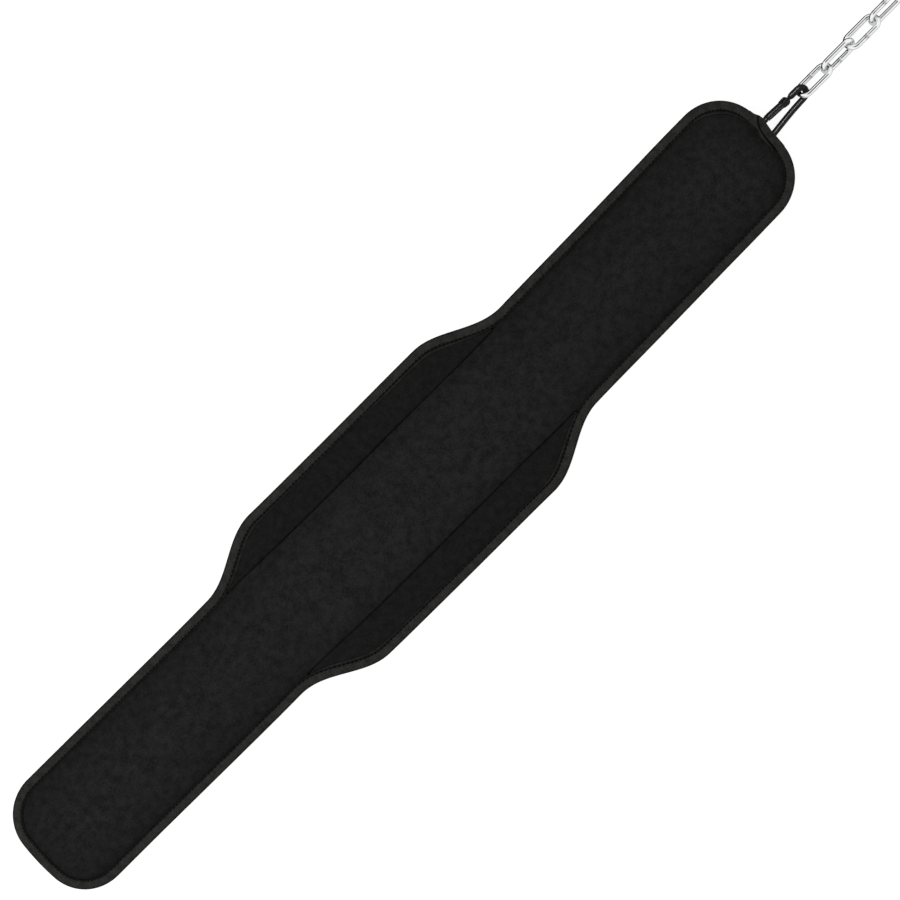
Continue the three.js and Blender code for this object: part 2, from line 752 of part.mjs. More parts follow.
const link_geometry = chainLink();
const link_reach = (link_width - link_wire) / 2;
const first_link_end = nose_x - hook_half - link_wire - link_play;
const first_link_x = first_link_end + link_inner_length / 2 + link_wire;
const link_pitch = link_inner_length - link_slack;
const steepest = Math.max(...chain_route.map(({ roll }) => Math.abs(roll)));
const steepest_rise = link_reach * Math.sin(THREE.MathUtils.degToRad(steepest));
const chain_height = steepest_rise + link_wire / 2 + chain_ground_gap;
chain_route.forEach(({ roll, across, sink }, i) => {
  const link = addMesh(`chain_link_${i + 1}`, link_geometry.clone(), zinc_steel);
  link.rotation.x = THREE.MathUtils.degToRad(roll);
  link.position.set(first_link_x + i * link_pitch, across, chain_height - sink);
});

export default group;
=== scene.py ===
# %% [markdown]
# # A padded dip belt, dressed round its CAD frame
# The real thing is a flat foam belt with a knit face, bound all round with folded tape. A sprung
# snap hook sits under one tip and holds a length of bright chain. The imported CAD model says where
# everything is, so each piece below is made in metres, in the same frame, and nothing has to be
# fitted by eye.

# %% Load the frame
import math

import bmesh
import bpy
import numpy as np
from mathutils import Matrix, Vector


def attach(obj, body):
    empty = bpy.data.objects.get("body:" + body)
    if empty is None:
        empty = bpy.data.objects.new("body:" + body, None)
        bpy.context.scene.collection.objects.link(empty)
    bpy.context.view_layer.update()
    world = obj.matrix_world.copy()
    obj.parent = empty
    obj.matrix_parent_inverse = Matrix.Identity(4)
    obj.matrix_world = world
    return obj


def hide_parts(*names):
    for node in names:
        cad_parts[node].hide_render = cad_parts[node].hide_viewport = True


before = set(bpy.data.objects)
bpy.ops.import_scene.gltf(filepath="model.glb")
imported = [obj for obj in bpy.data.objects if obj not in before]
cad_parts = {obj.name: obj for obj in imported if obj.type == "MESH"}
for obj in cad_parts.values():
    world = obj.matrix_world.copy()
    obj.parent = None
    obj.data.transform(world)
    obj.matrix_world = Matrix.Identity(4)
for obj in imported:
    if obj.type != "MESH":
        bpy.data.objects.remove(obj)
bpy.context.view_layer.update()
mm = 0.001

# %% [markdown]
# ## Sizes that the frame doesn't hold as numbers
# The outline, the folded tape and the hook's rod are worked out from a few named sizes. They are
# the ones that the solids were made from, so a piece that is built from them lies where its solid
# lies.

# %% Named sizes, in millimetres
belt_half = 406.4
back_half = 91.0
shoulder_length = 73.0
wing_reach = 78.0
strap_half = 52.5
tip_corner_radius = 38.0
tip_face_radius = 200.0
seam_offset = 44.7
tape_wall = 9.3
stitch_inset = 7.2
stitch_pitch = 3.6
hook_tip_lift, hook_tip_run = 15.7, 104.0
plain_tip_lift, plain_tip_run = 6.2, 84.0
tip_rest = 6.0
rim_inset = 2.4
edge_samples = 1400
print("belt length, mm:", 2 * belt_half)

# %% [markdown]
# ## The outline as a closed line
# Straight sides, cosine shoulders and round corners give one line. It is sampled finely and then
# spaced evenly, because stitches and weave need even steps along the edge. Each stop keeps its
# outward normal, so an inset is one step inwards along it.

# %% Easing and the tips' lift
def ease(share):
    """Smooth step from 0 to 1."""
    s = np.clip(share, 0, 1)
    return s * s * (3 - 2 * s)


def lift(x):
    hook_side = hook_tip_lift * ease((x - (belt_half - tip_rest - hook_tip_run)) / hook_tip_run)
    plain_side = plain_tip_lift * ease((-x - (belt_half - tip_rest - plain_tip_run)) / plain_tip_run)
    return hook_side + plain_side


print("tips lifted, mm:", float(lift(belt_half)), float(lift(-belt_half)))


# %% The outline, from one quarter
def quarter_line():
    """Rows of x, y and outward normal, from the middle of the hook tip to the middle of the back."""
    corner_y = strap_half - tip_corner_radius
    face_gap = tip_face_radius - tip_corner_radius
    corner_x = belt_half - tip_face_radius + math.sqrt(face_gap ** 2 - corner_y ** 2)
    start = math.asin(corner_y / face_gap)
    rows = []
    for turn in np.linspace(0, start, 40, endpoint=False):
        rows.append((belt_half - tip_face_radius * (1 - math.cos(turn)), tip_face_radius * math.sin(turn),
                     math.cos(turn), math.sin(turn)))
    for turn in np.linspace(start, math.pi / 2, 120):
        nx, ny = math.cos(turn), math.sin(turn)
        rows.append((corner_x + tip_corner_radius * nx, corner_y + tip_corner_radius * ny, nx, ny))
    for x in np.linspace(corner_x, back_half + shoulder_length, 100)[1:]:
        rows.append((x, strap_half, 0, 1))
    rise = (wing_reach - strap_half) / 2
    for share in np.linspace(1, 0, 160)[1:]:
        slope = -rise * math.pi * math.sin(math.pi * share) / shoulder_length
        size = math.hypot(slope, 1)
        x, y = back_half + shoulder_length * share, strap_half + rise * (1 + math.cos(math.pi * share))
        rows.append((x, y, -slope / size, 1 / size))
    for x in np.linspace(back_half, 0, 60)[1:]:
        rows.append((x, wing_reach, 0, 1))
    return np.array(rows)


def whole_line(count):
    quarter = quarter_line()
    mirror_x = quarter[:-1][::-1] * [-1, 1, -1, 1]
    upper = np.vstack([quarter, mirror_x])
    lower = upper[1:-1][::-1] * [1, -1, 1, -1]
    line = np.vstack([upper, lower, upper[:1]])
    run = np.concatenate([[0], np.cumsum(np.hypot(*np.diff(line[:, :2], axis=0).T))])
    places = np.linspace(0, run[-1], count, endpoint=False)
    even = np.stack([np.interp(places, run, line[:, k]) for k in range(4)], 1)
    even[:, 2:] /= np.linalg.norm(even[:, 2:], axis=1)[:, None]
    return even, places, run[-1]


edge_line, _, edge_length = whole_line(edge_samples)
print("edge, mm:", round(edge_length, 1), "stitches round it:", round(edge_length / stitch_pitch))


# %% Insets from the outline
def inside(points):
    """Distance in from the outline, for points that lie inside it."""
    best = np.full(len(points), 1e9)
    a = edge_line[:, :2]
    b = np.roll(a, -1, axis=0)
    for start in range(0, len(points), 2000):
        p = points[start:start + 2000, None, :]
        share = np.clip(((p - a) * (b - a)).sum(2) / ((b - a) ** 2).sum(1), 0, 1)
        near = a + share[..., None] * (b - a)
        best[start:start + 2000] = np.sqrt(((p - near) ** 2).sum(2)).min(1)
    return best


def reach_at(x, inset):
    """Half width of the outline moved in by an inset, at places along the belt."""
    side = edge_line[edge_line[:, 1] > 0]
    px = side[:, 0] - side[:, 2] * inset
    py = side[:, 1] - side[:, 3] * inset
    order = np.argsort(px)
    return np.interp(x, px[order], py[order])


def tip_reach(y, inset):
    """How far along the belt an inset outline reaches, at places across a tip."""
    side = edge_line[(edge_line[:, 0] > 300) & (edge_line[:, 1] >= 0)]
    px = side[:, 0] - side[:, 2] * inset
    py = side[:, 1] - side[:, 3] * inset
    order = np.argsort(py)
    return np.interp(np.abs(y), py[order], px[order])


print("half widths inside the tape, mm:", [round(float(reach_at(x, tape_wall)), 1) for x in (0, 300)])

# %% [markdown]
# ## How the belt lies
# A soft belt never lies dead straight. In the photo its middle line bows by a few millimetres, both
# tip faces are turned a little, and the strap on the hook's side is slightly wider. Each cloth
# piece could be drawn crooked from the start, but it is simpler to make them straight and send them
# all through the same small shift at the end. They stay sewn together, and the solids keep the
# straight shape.

# %% Lie of the cloth
lie_rows = {"along": (-406, -330, -236, -175, -141, -118, -95, 0,
                      95, 122, 150, 165, 236, 307, 354, 400),
            "aside": (1.3, 1.0, 0.1, -0.3, 0.5, 0.1, -1.2, -1.8,
                      -1.8, -3.0, -1.7, -1.1, -0.3, 1.0, 1.9, 2.3)}
lie_knots = np.linspace(-420, 420, 85)
face_turn_from, face_turn_run = 270, 130
hook_face_turn, hook_face_back = 0.010, -1.6
plain_face_turn, plain_face_back = 0.030, -0.4
hook_side_spread = 0.012
spread_from, spread_rise, spread_until, spread_fall = 110, 50, 330, 60


def soften(line, rounds):
    """Running average along a line, with its two ends held."""
    for _ in range(rounds):
        line[1:-1] = (line[:-2] + 2 * line[1:-1] + line[2:]) / 4
    return line


bow = soften(np.interp(lie_knots, lie_rows["along"], lie_rows["aside"]), 6)


def as_it_lies(points):
    """Shifts points, in metres, from the straight belt to the belt as it lies."""
    x, y, z = np.asarray(points, float).T / mm
    hook_end = ease((x - face_turn_from) / face_turn_run)
    plain_end = ease((-x - face_turn_from) / face_turn_run)
    hook_shift = hook_end * (hook_face_back + hook_face_turn * y)
    plain_shift = plain_end * (plain_face_back + plain_face_turn * y)
    rising = ease((x - spread_from) / spread_rise)
    falling = ease((x - spread_until) / spread_fall)
    spread = 1 + hook_side_spread * rising * (1 - falling)
    return np.stack([x + (hook_shift + plain_shift), y * spread + np.interp(x, lie_knots, bow), z], 1) * mm


print("largest shift aside, mm:", round(float(np.abs(bow).max()), 2))

# %% [markdown]
# ## Helpers for meshes
# Almost every piece is a row of rings that are joined into a skin, or a grid that is closed into a
# pad. A `cloth_place` attribute keeps each point's place along and across its cloth, so a weave can
# follow a tape round a corner without an unwrapped map.

# %% Making a mesh from rings
def make_piece(name, points, faces, places=None, painted_shade_and_weld_heat=None):
    mesh = bpy.data.meshes.new(name)
    mesh.from_pydata([tuple(p) for p in np.asarray(points) * mm], [], faces)
    mesh.validate()
    mesh.shade_smooth()
    if places is not None:
        layer = mesh.attributes.new("cloth_place", "FLOAT_VECTOR", "POINT")
        layer.data.foreach_set("vector", (np.asarray(places) * mm).astype(np.float32).ravel())
    # On the cloth pieces this attribute is painted shade; on the chain's links it is the welds' real heat
    # mark.
    if painted_shade_and_weld_heat is not None:
        layer = mesh.attributes.new("painted_shade_and_weld_heat", "FLOAT", "POINT")
        layer.data.foreach_set("value", np.asarray(painted_shade_and_weld_heat, np.float32))
    piece = bpy.data.objects.new(name, mesh)
    bpy.context.scene.collection.objects.link(piece)
    return piece


def ring_faces(rings, around, closed, first=0):
    faces = []
    for i in range(rings if closed else rings - 1):
        here, there = first + i * around, first + ((i + 1) % rings) * around
        for k in range(around):
            l = (k + 1) % around
            faces.append((here + k, here + l, there + l, there + k))
    if not closed:
        faces.append(tuple(range(first + around - 1, first - 1, -1)))
        last = first + (rings - 1) * around
        faces.append(tuple(range(last, last + around)))
    return faces


print("faces of a closed ring of 4 by 4:", len(ring_faces(4, 4, True)))


# %% Changing a mesh once it is made
def outward(piece):
    """Turns every face to point out of its closed shell."""
    work = bmesh.new()
    work.from_mesh(piece.data)
    bmesh.ops.recalc_face_normals(work, faces=work.faces)
    work.to_mesh(piece.data)
    work.free()
    return piece


def run_modifiers(piece):
    """Applies a piece's modifiers, so the mesh that is kept is the one that shows."""
    graph = bpy.context.evaluated_depsgraph_get()
    done = bpy.data.meshes.new_from_object(piece.evaluated_get(graph))
    piece.modifiers.clear()
    piece.data = done
    done.shade_smooth()
    return piece


def coordinates(piece):
    flat = np.zeros(len(piece.data.vertices) * 3, np.float32)
    piece.data.vertices.foreach_get("co", flat)
    return flat.reshape(-1, 3).astype(float)


def set_coordinates(piece, points):
    piece.data.vertices.foreach_set("co", np.asarray(points, np.float32).ravel())
    piece.data.update()


def lay(piece):
    set_coordinates(piece, as_it_lies(coordinates(piece)))
    return piece


def wander(places, step, size, seed):
    """A smooth random wander along a line."""
    draw = np.random.default_rng(seed)
    knots = np.arange(places.min() - step, places.max() + 2 * step, step)
    return np.interp(places, knots, draw.normal(0, size, len(knots)))


print("start of a wander, mm:", wander(np.arange(0.0, 60.0, 20.0), 20, 0.2, 1).round(2))

# %% [markdown]
# ## Shared finishes as node groups
# Weave, mottling and lint turn up on four cloths, and the mottling on both metals too. Copying
# their nodes into each material would work, but one change would then have to be made six times. So
# each effect is a small group with named inputs. A group only puts out heights and masks. The
# shader itself stays in the material, where its fixed values are set.

# %% Node helpers
def new_group(name, inputs, outputs):
    group = bpy.data.node_groups.new(name, "ShaderNodeTree")
    for label, kind, value in inputs:
        socket = group.interface.new_socket(name=label, in_out="INPUT", socket_type=kind)
        if value is not None:
            socket.default_value = value
    for label in outputs:
        group.interface.new_socket(name=label, in_out="OUTPUT", socket_type="NodeSocketFloat")
    return group, group.nodes.new("NodeGroupInput"), group.nodes.new("NodeGroupOutput")


def math_node(tree, operation, *values):
    node = tree.nodes.new("ShaderNodeMath")
    node.operation = operation
    for socket, value in zip(node.inputs, values):
        if hasattr(value, "links"):
            tree.links.new(value, socket)
        else:
            socket.default_value = value
    return node.outputs[0]


def noise_node(tree, vector, scale, detail=2.0):
    node = tree.nodes.new("ShaderNodeTexNoise")
    node.inputs["Detail"].default_value = detail
    tree.links.new(vector, node.inputs["Vector"])
    if hasattr(scale, "links"):
        tree.links.new(scale, node.inputs["Scale"])
    else:
        node.inputs["Scale"].default_value = scale
    return node.outputs["Fac"]


print("node groups so far:", len(bpy.data.node_groups))

# %% The three groups
rib_share, wave_height = 0.35, 0.35
speck_gain = 8.0


def weave_group():
    group, start, end = new_group("fine weave", [("Place", "NodeSocketVector", None),
                                                 ("Along", "NodeSocketFloat", 0.001),
                                                 ("Across", "NodeSocketFloat", 0.001)], ["Height"])
    split = group.nodes.new("ShaderNodeSeparateXYZ")
    group.links.new(start.outputs["Place"], split.inputs[0])
    waves = []
    for axis, spacing in (("X", "Along"), ("Y", "Across")):
        turns = math_node(group, "DIVIDE", split.outputs[axis], start.outputs[spacing])
        waves.append(math_node(group, "SINE", math_node(group, "MULTIPLY", turns, 2 * math.pi)))
    crossed = math_node(group, "MULTIPLY", waves[0], waves[1])
    ribs = math_node(group, "MULTIPLY", waves[0], rib_share)
    height = math_node(group, "MULTIPLY_ADD", math_node(group, "ADD", crossed, ribs), wave_height, 0.5)
    group.links.new(height, end.inputs["Height"])
    return group


def mottle_group():
    group, start, end = new_group("soft mottle", [("Place", "NodeSocketVector", None),
                                                  ("Coarse", "NodeSocketFloat", 40.0),
                                                  ("Fine", "NodeSocketFloat", 400.0)], ["Mottle", "Fibre"])
    for scale, detail, label in (("Coarse", 3, "Mottle"), ("Fine", 4, "Fibre")):
        noise = noise_node(group, start.outputs["Place"], start.outputs[scale], detail)
        group.links.new(noise, end.inputs[label])
    return group


def lint_group():
    group, start, end = new_group("lint specks", [("Place", "NodeSocketVector", None),
                                                  ("Grain", "NodeSocketFloat", 900.0),
                                                  ("Least", "NodeSocketFloat", 0.72)], ["Specks"])
    dust = noise_node(group, start.outputs["Place"], start.outputs["Grain"], 1)
    over = math_node(group, "SUBTRACT", dust, start.outputs["Least"])
    shown = math_node(group, "MULTIPLY", math_node(group, "MAXIMUM", over, 0.0), speck_gain)
    group.links.new(math_node(group, "MINIMUM", shown, 1.0), end.inputs["Specks"])
    return group


fine_weave, soft_mottle, lint_specks = weave_group(), mottle_group(), lint_group()
print("groups:", [g.name for g in bpy.data.node_groups])

# %% [markdown]
# ## Materials
# A black cloth is never one flat black. Its threads catch light at their tops, its tone drifts
# every few millimetres, and a little lint sits on it. A bump alone would leave its tone flat, so
# the masks from the groups mix a darker and a lighter black as well; the weave's share of that is
# painted light on the threads' tops. Lining and tape also get painted shade from an
# attribute. The colours are linear values.

# %% Material helpers
def base_material(name, rough, metallic=0.0, specular=0.3):
    material = bpy.data.materials.new(name)
    material.use_nodes = True
    shader = material.node_tree.nodes["Principled BSDF"]
    shader.inputs["Roughness"].default_value = rough
    shader.inputs["Metallic"].default_value = metallic
    shader.inputs["Specular IOR Level"].default_value = specular
    return material, material.node_tree, shader


def place_of(tree, follow):
    """A cloth's own place from its attribute, or the object's place."""
    if follow:
        node = tree.nodes.new("ShaderNodeAttribute")
        node.attribute_name = "cloth_place"
        return node.outputs["Vector"]
    return tree.nodes.new("ShaderNodeTexCoord").outputs["Object"]


def group_node(tree, group, place, **values):
    node = tree.nodes.new("ShaderNodeGroup")
    node.node_tree = group
    tree.links.new(place, node.inputs["Place"])
    for label, value in values.items():
        node.inputs[label].default_value = value
    return node


def mix_colour(tree, share, first, second):
    node = tree.nodes.new("ShaderNodeMix")
    node.data_type = "RGBA"
    for socket, value in ((node.inputs[0], share), (node.inputs[6], first), (node.inputs[7], second)):
        if hasattr(value, "links"):
            tree.links.new(value, socket)
        else:
            socket.default_value = (*value, 1) if isinstance(value, tuple) else value
    return node.outputs[2]


def bump(tree, height, distance, strength, shader):
    node = tree.nodes.new("ShaderNodeBump")
    node.inputs["Distance"].default_value = distance
    node.inputs["Strength"].default_value = strength
    tree.links.new(height, node.inputs["Height"])
    tree.links.new(node.outputs[0], shader.inputs["Normal"])


print("materials so far:", [m.name for m in bpy.data.materials])

# %% One recipe for every cloth
cloth_specular = 0.04
mottle_scale, fibre_scale, speck_grain, speck_least = 170.0, 850.0, 650.0, 0.71
mottle_share, fibre_share, weave_share, tone_drop = 1.2, 1.5, 0.2, 0.95
lint_share = 0.35
rough_drift = 0.12
bump_fibre, bump_strength = 0.5, 0.7


def cloth_material(name, dark, light, lint, rough, along, across, depth, follow, painted_shade_colour=None):
    material, tree, shader = base_material(name, rough, specular=cloth_specular)
    place = place_of(tree, follow)
    weave = group_node(tree, fine_weave, place, Along=along, Across=across)
    mottle = group_node(tree, soft_mottle, place, Coarse=mottle_scale, Fine=fibre_scale)
    specks = group_node(tree, lint_specks, place, Grain=speck_grain, Least=speck_least)
    blotches = math_node(tree, "MULTIPLY_ADD", mottle.outputs["Mottle"], mottle_share,
                         math_node(tree, "MULTIPLY", mottle.outputs["Fibre"], fibre_share))
    # The weave's share paints light on the threads' tops; mottle and fibre are the cloth's own drifting
    # tone.
    tone = math_node(tree, "MULTIPLY_ADD", weave.outputs["Height"], weave_share,
                     math_node(tree, "SUBTRACT", blotches, tone_drop))
    colour = mix_colour(tree, tone, dark, light)
    dusty = math_node(tree, "MULTIPLY", specks.outputs["Specks"], lint_share)
    colour = mix_colour(tree, dusty, colour, lint)
    # Painted shade: the attribute mixes in a darker black towards rims, creases, the fold and stitch
    # grooves.
    if painted_shade_colour is not None:
        shade = tree.nodes.new("ShaderNodeAttribute")
        shade.attribute_name = "painted_shade_and_weld_heat"
        colour = mix_colour(tree, shade.outputs["Fac"], colour, painted_shade_colour)
    tree.links.new(colour, shader.inputs["Base Color"])
    least_rough = rough - rough_drift / 2
    rough_here = math_node(tree, "MULTIPLY_ADD", mottle.outputs["Fibre"], rough_drift, least_rough)
    tree.links.new(rough_here, shader.inputs["Roughness"])
    fibre = math_node(tree, "MULTIPLY", mottle.outputs["Fibre"], bump_fibre)
    bump(tree, math_node(tree, "ADD", weave.outputs["Height"], fibre), depth, bump_strength, shader)
    return material


print("a cloth's grains, mm:", [round(1 / s / mm, 2) for s in (mottle_scale, fibre_scale, speck_grain)])

# %% [markdown]
# ## Four black cloths
# All four are black, so what tells them apart is their darkest and lightest black and the spacing
# of their threads, in metres. One material with a mask for each cloth would work, but four that
# share their groups are easier to tune.

# %% The cloths and the thread
def grey(level):
    return (level, level, level)


lining = cloth_material("black knit lining", grey(0.0029), grey(0.0124), grey(0.03), rough=0.86,
                        along=0.00065, across=0.0009, depth=0.00012, follow=False, painted_shade_colour=grey(0.0022))
edge_tape = cloth_material("black binding tape", (0.0045, 0.0044, 0.0042), (0.0205, 0.0200, 0.0190),
                           (0.05, 0.05, 0.045), rough=0.82, along=0.0009, across=0.0011, depth=0.00016,
                           follow=True, painted_shade_colour=grey(0.0006))
webbing = cloth_material("black webbing", grey(0.004), grey(0.012), grey(0.03), rough=0.8,
                         along=0.0016, across=0.0012, depth=0.0002, follow=True)
thread = cloth_material("black sewing thread", grey(0.0006), grey(0.0016), grey(0.01), rough=0.8,
                        along=0.0003, across=0.0003, depth=0.00004, follow=False)
print("cloths:", [m.name for m in (lining, edge_tape, webbing, thread)])

# %% [markdown]
# ## Metals
# The hook is painted black, so it is smooth with a slight orange peel and rubs grey where it is
# handled. The chain is bright zinc: a polished metal whose roughness drifts a little, with a dull
# heat mark at each weld. Paint and plating share the mottle group, with their own scales. Both
# materials keep their roughness low, because it is the sharp dark and light lines along the wire
# that make it look like metal.

# %% The metals
rubbed_from, rubbed_gain = 0.58, 3.0
paint_rough, paint_rough_drift = 0.12, 0.2
zinc_rough, zinc_rough_drift = 0.02, 0.05


def painted_steel():
    material, tree, shader = base_material("black painted steel", 0.34, metallic=0.0, specular=0.1)
    place = place_of(tree, False)
    mottle = group_node(tree, soft_mottle, place, Coarse=260.0, Fine=1800.0)
    over = math_node(tree, "SUBTRACT", mottle.outputs["Mottle"], rubbed_from)
    rubbed = math_node(tree, "MULTIPLY", math_node(tree, "MAXIMUM", over, 0.0), rubbed_gain)
    colour = mix_colour(tree, rubbed, (0.0022, 0.0022, 0.0023), grey(0.012))
    tree.links.new(colour, shader.inputs["Base Color"])
    rough_here = math_node(tree, "MULTIPLY_ADD", mottle.outputs["Fibre"], paint_rough_drift, paint_rough)
    tree.links.new(rough_here, shader.inputs["Roughness"])
    bump(tree, mottle.outputs["Fibre"], 0.00002, 0.08, shader)
    return material


def zinc_steel():
    material, tree, shader = base_material("bright zinc steel", 0.18, metallic=1.0, specular=0.5)
    place = place_of(tree, False)
    mottle = group_node(tree, soft_mottle, place, Coarse=330.0, Fine=2400.0)
    heat = tree.nodes.new("ShaderNodeAttribute")
    heat.attribute_name = "painted_shade_and_weld_heat"
    colour = mix_colour(tree, mottle.outputs["Mottle"], (0.78, 0.79, 0.80), grey(0.9))
    colour = mix_colour(tree, heat.outputs["Fac"], colour, (0.30, 0.30, 0.31))
    tree.links.new(colour, shader.inputs["Base Color"])
    rough_here = math_node(tree, "MULTIPLY_ADD", mottle.outputs["Fibre"], zinc_rough_drift, zinc_rough)
    tree.links.new(rough_here, shader.inputs["Roughness"])
    bump(tree, mottle.outputs["Mottle"], 0.00001, 0.2, shader)
    return material


black_steel, bright_zinc = painted_steel(), zinc_steel()
print("metals:", [m.name for m in (black_steel, bright_zinc)])

# %% Handing a piece over to the frame
def finish_piece(piece, material, slot, body, *nodes):
    piece.data.materials.clear()
    piece.data.materials.append(material)
    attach(piece, body)
    if nodes:
        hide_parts(*nodes)
    print(piece.name, "faces:", len(piece.data.polygons))
    return piece


# %% [markdown]
# ## The padding
# On the real belt the foam is crowned: it dives under the tape at its rim and pinches at the two
# creases. A grid whose rows end on the outline gives clean edges there, which a voxel remesh would
# eat, since the rim is thinner than a voxel.

# %% Height profiles of the padding
rim_profile = {"inset": (0, 2.4, 7.4, 8.3, 9.3, 10.6, 12.5, 15.5, 22, 35, 60),
               "high": (3.0, 3.5, 3.7, 3.9, 4.7, 5.7, 6.5, 7.1, 7.7, 8.05, 8.2)}
under_profile = {"inset": (0, 8.6, 10.2, 60), "high": (1.32, 1.32, 0.0, 0.0)}
crease_centre = {"out": (0, 0.35, 0.9, 2.2, 5, 12, 44), "drop": (2.9, 1.6, 1.0, 0.62, 0.42, 0.16, 0)}
crease_wing = {"out": (0, 0.35, 0.9, 2.2, 5, 12, 44), "drop": (1.7, 1.1, 0.7, 0.35, 0.12, 0, 0)}
wing_least = 1.15
seam_step, seam_drift = 22, 0.16
seam_gap = 0.12
end_blend = 6


def wing_limit():
    for x in np.arange(back_half + shoulder_length, back_half, -0.25):
        if reach_at(x, tape_wall) >= seam_offset + wing_least:
            return x
    return back_half


wing_end = wing_limit()
print("wings end at, mm:", wing_end)


def seam_line(x, side):
    return seam_offset + wander(x, seam_step, seam_drift, 5 if side > 0 else 6)


def share_of_back(x):
    """1 along the wings, easing to 0 just past their ends."""
    return 1 - ease((np.abs(x) - wing_end) / end_blend)


def band_height(x, y):
    deep = inside(np.stack([x, y], 1))
    top = np.interp(deep, rim_profile["inset"], rim_profile["high"])
    for side in (1, -1):
        out = np.maximum(seam_line(x, side) - side * y, 0)
        top -= share_of_back(x) * np.interp(out, crease_centre["out"], crease_centre["drop"])
    return top, np.interp(deep, under_profile["inset"], under_profile["high"]), deep


# %% Grid of the centre band
seam_lean, lean_power = 1.5, 12
band_row_count, middle_count, tip_count = 49, 201, 26
middle_end = 338.0
tip_easing = 0.35
tape_shade, tape_shade_run = 0.42, 18
crease_shade, crease_shade_run = 0.35, 10


def band_rows():
    spread = np.sin(np.linspace(-1, 1, band_row_count) * math.pi / 2)
    return np.sign(spread) * np.abs(spread) ** 0.9


def centre_pad():
    rows = band_rows()
    narrow = strap_half - rim_inset
    wide = seam_offset - seam_gap
    middle = np.linspace(-middle_end, middle_end, middle_count)
    tip_steps = np.linspace(0, 1, tip_count)[1:]
    tip = ease(tip_steps) * tip_easing + tip_steps * (1 - tip_easing)
    grid_x, grid_y = [], []
    for s in rows:
        end = tip_reach(abs(s) * narrow, rim_inset)
        right = middle_end + (end - middle_end) * tip
        x = np.concatenate([-right[::-1], middle, right])
        mix = 1 - share_of_back(x)
        side = np.where(s >= 0, seam_line(x, 1), seam_line(x, -1)) - seam_offset
        half = (wide + side * (1 - mix)) * (1 - mix) + narrow * mix
        grid_x.append(x)
        grid_y.append(s * half)
    x, y = np.array(grid_x), np.array(grid_y)
    count_y, count_x = x.shape
    top, under, deep = band_height(x.ravel(), y.ravel())
    ground = lift(x.ravel())
    in_back = share_of_back(x)
    lean = seam_lean * np.abs(rows[:, None]) ** lean_power * in_back * np.sign(rows[:, None])
    upper = np.stack([x.ravel(), y.ravel(), ground + top], 1)
    lower = np.stack([x.ravel(), (y + lean).ravel(), ground + under], 1)
    # Painted shade: the lining is darkened towards the tape and towards the creases.
    near_tape = tape_shade * np.exp(-np.maximum(deep - tape_wall, 0) / tape_shade_run)
    from_crease = np.maximum(seam_offset - np.abs(y.ravel()), 0)
    near_crease = crease_shade * in_back.ravel() * np.exp(-from_crease / crease_shade_run)
    shade = np.maximum(near_tape, near_crease)
    return close_grid("centre_pad", upper, lower, count_y, count_x, shade), deep, count_y, count_x


def close_grid(name, upper, lower, count_y, count_x, shade):
    """Closes a top grid and an under grid into one pad."""
    total = count_y * count_x
    index = np.arange(total).reshape(count_y, count_x)
    faces = []
    for j in range(count_y - 1):
        for i in range(count_x - 1):
            a, b, c, d = index[j, i], index[j, i + 1], index[j + 1, i + 1], index[j + 1, i]
            faces.append((a, b, c, d))
            faces.append((a + total, d + total, c + total, b + total))
    rim = list(index[0, :-1]) + list(index[:-1, -1]) + list(index[-1, :0:-1]) + list(index[:0:-1, 0])
    for a, b in zip(rim, rim[1:] + rim[:1]):
        faces.append((b, a, a + total, b + total))
    piece = make_piece(name, np.vstack([upper, lower]), [tuple(int(v) for v in f) for f in faces],
                       painted_shade_and_weld_heat=np.concatenate([shade, shade]))
    return outward(piece)


print("centre band grid:", band_row_count, "rows of", middle_count + 2 * (tip_count - 1))

# %% [markdown]
# ## Puffing the pads
# Foam under a knit face pushes out between its seams. A modelled crown alone looks turned on a
# lathe, so Blender's Cloth blows each pad up from inside for 20 frames, with gravity off. Points
# that are sewn or that lie on the ground are pinned, and no point may move further than a cap. The
# result is applied to the mesh, so nothing is left to simulate later.

# %% Puffing with the cloth solver
puff_frames = 20


def puff(piece, held, pressure, cap):
    """Blows a pad up a little from inside and keeps each point near its start."""
    start = coordinates(piece)
    pins = piece.vertex_groups.new(name="sewn")
    pins.add([int(i) for i in np.where(held)[0]], 1.0, "REPLACE")
    cloth = piece.modifiers.new("puff", "CLOTH")
    cloth.settings.vertex_group_mass = "sewn"
    cloth.settings.use_pressure = True
    cloth.settings.uniform_pressure_force = pressure
    cloth.settings.quality = 6
    cloth.settings.mass = 0.3
    cloth.settings.tension_stiffness = 12
    cloth.settings.compression_stiffness = 12
    cloth.settings.bending_stiffness = 0.4
    cloth.settings.shrink_min = -0.004
    cloth.settings.effector_weights.gravity = 0
    cloth.collision_settings.use_collision = False
    cloth.point_cache.frame_start, cloth.point_cache.frame_end = 1, puff_frames
    for step in range(1, puff_frames + 1):
        bpy.context.scene.frame_set(step)
    run_modifiers(piece)
    bpy.context.scene.frame_set(1)
    moved = coordinates(piece) - start
    size = np.linalg.norm(moved, axis=1)
    share = np.minimum(1, cap * mm / np.maximum(size, 1e-9))
    set_coordinates(piece, start + moved * share[:, None])
    piece.vertex_groups.clear()
    print(piece.name, "puffed up to, mm:", round(float((size * share).max() / mm), 2))
    return piece


def finish_pad(piece, nodes):
    smooth = piece.modifiers.new("round", "SUBSURF")
    smooth.levels = smooth.render_levels = 1
    run_modifiers(piece)
    finish_piece(lay(piece), lining, "lining", "root", *nodes)
    return piece


print("puffing:", f"{puff_frames} frames a pad")

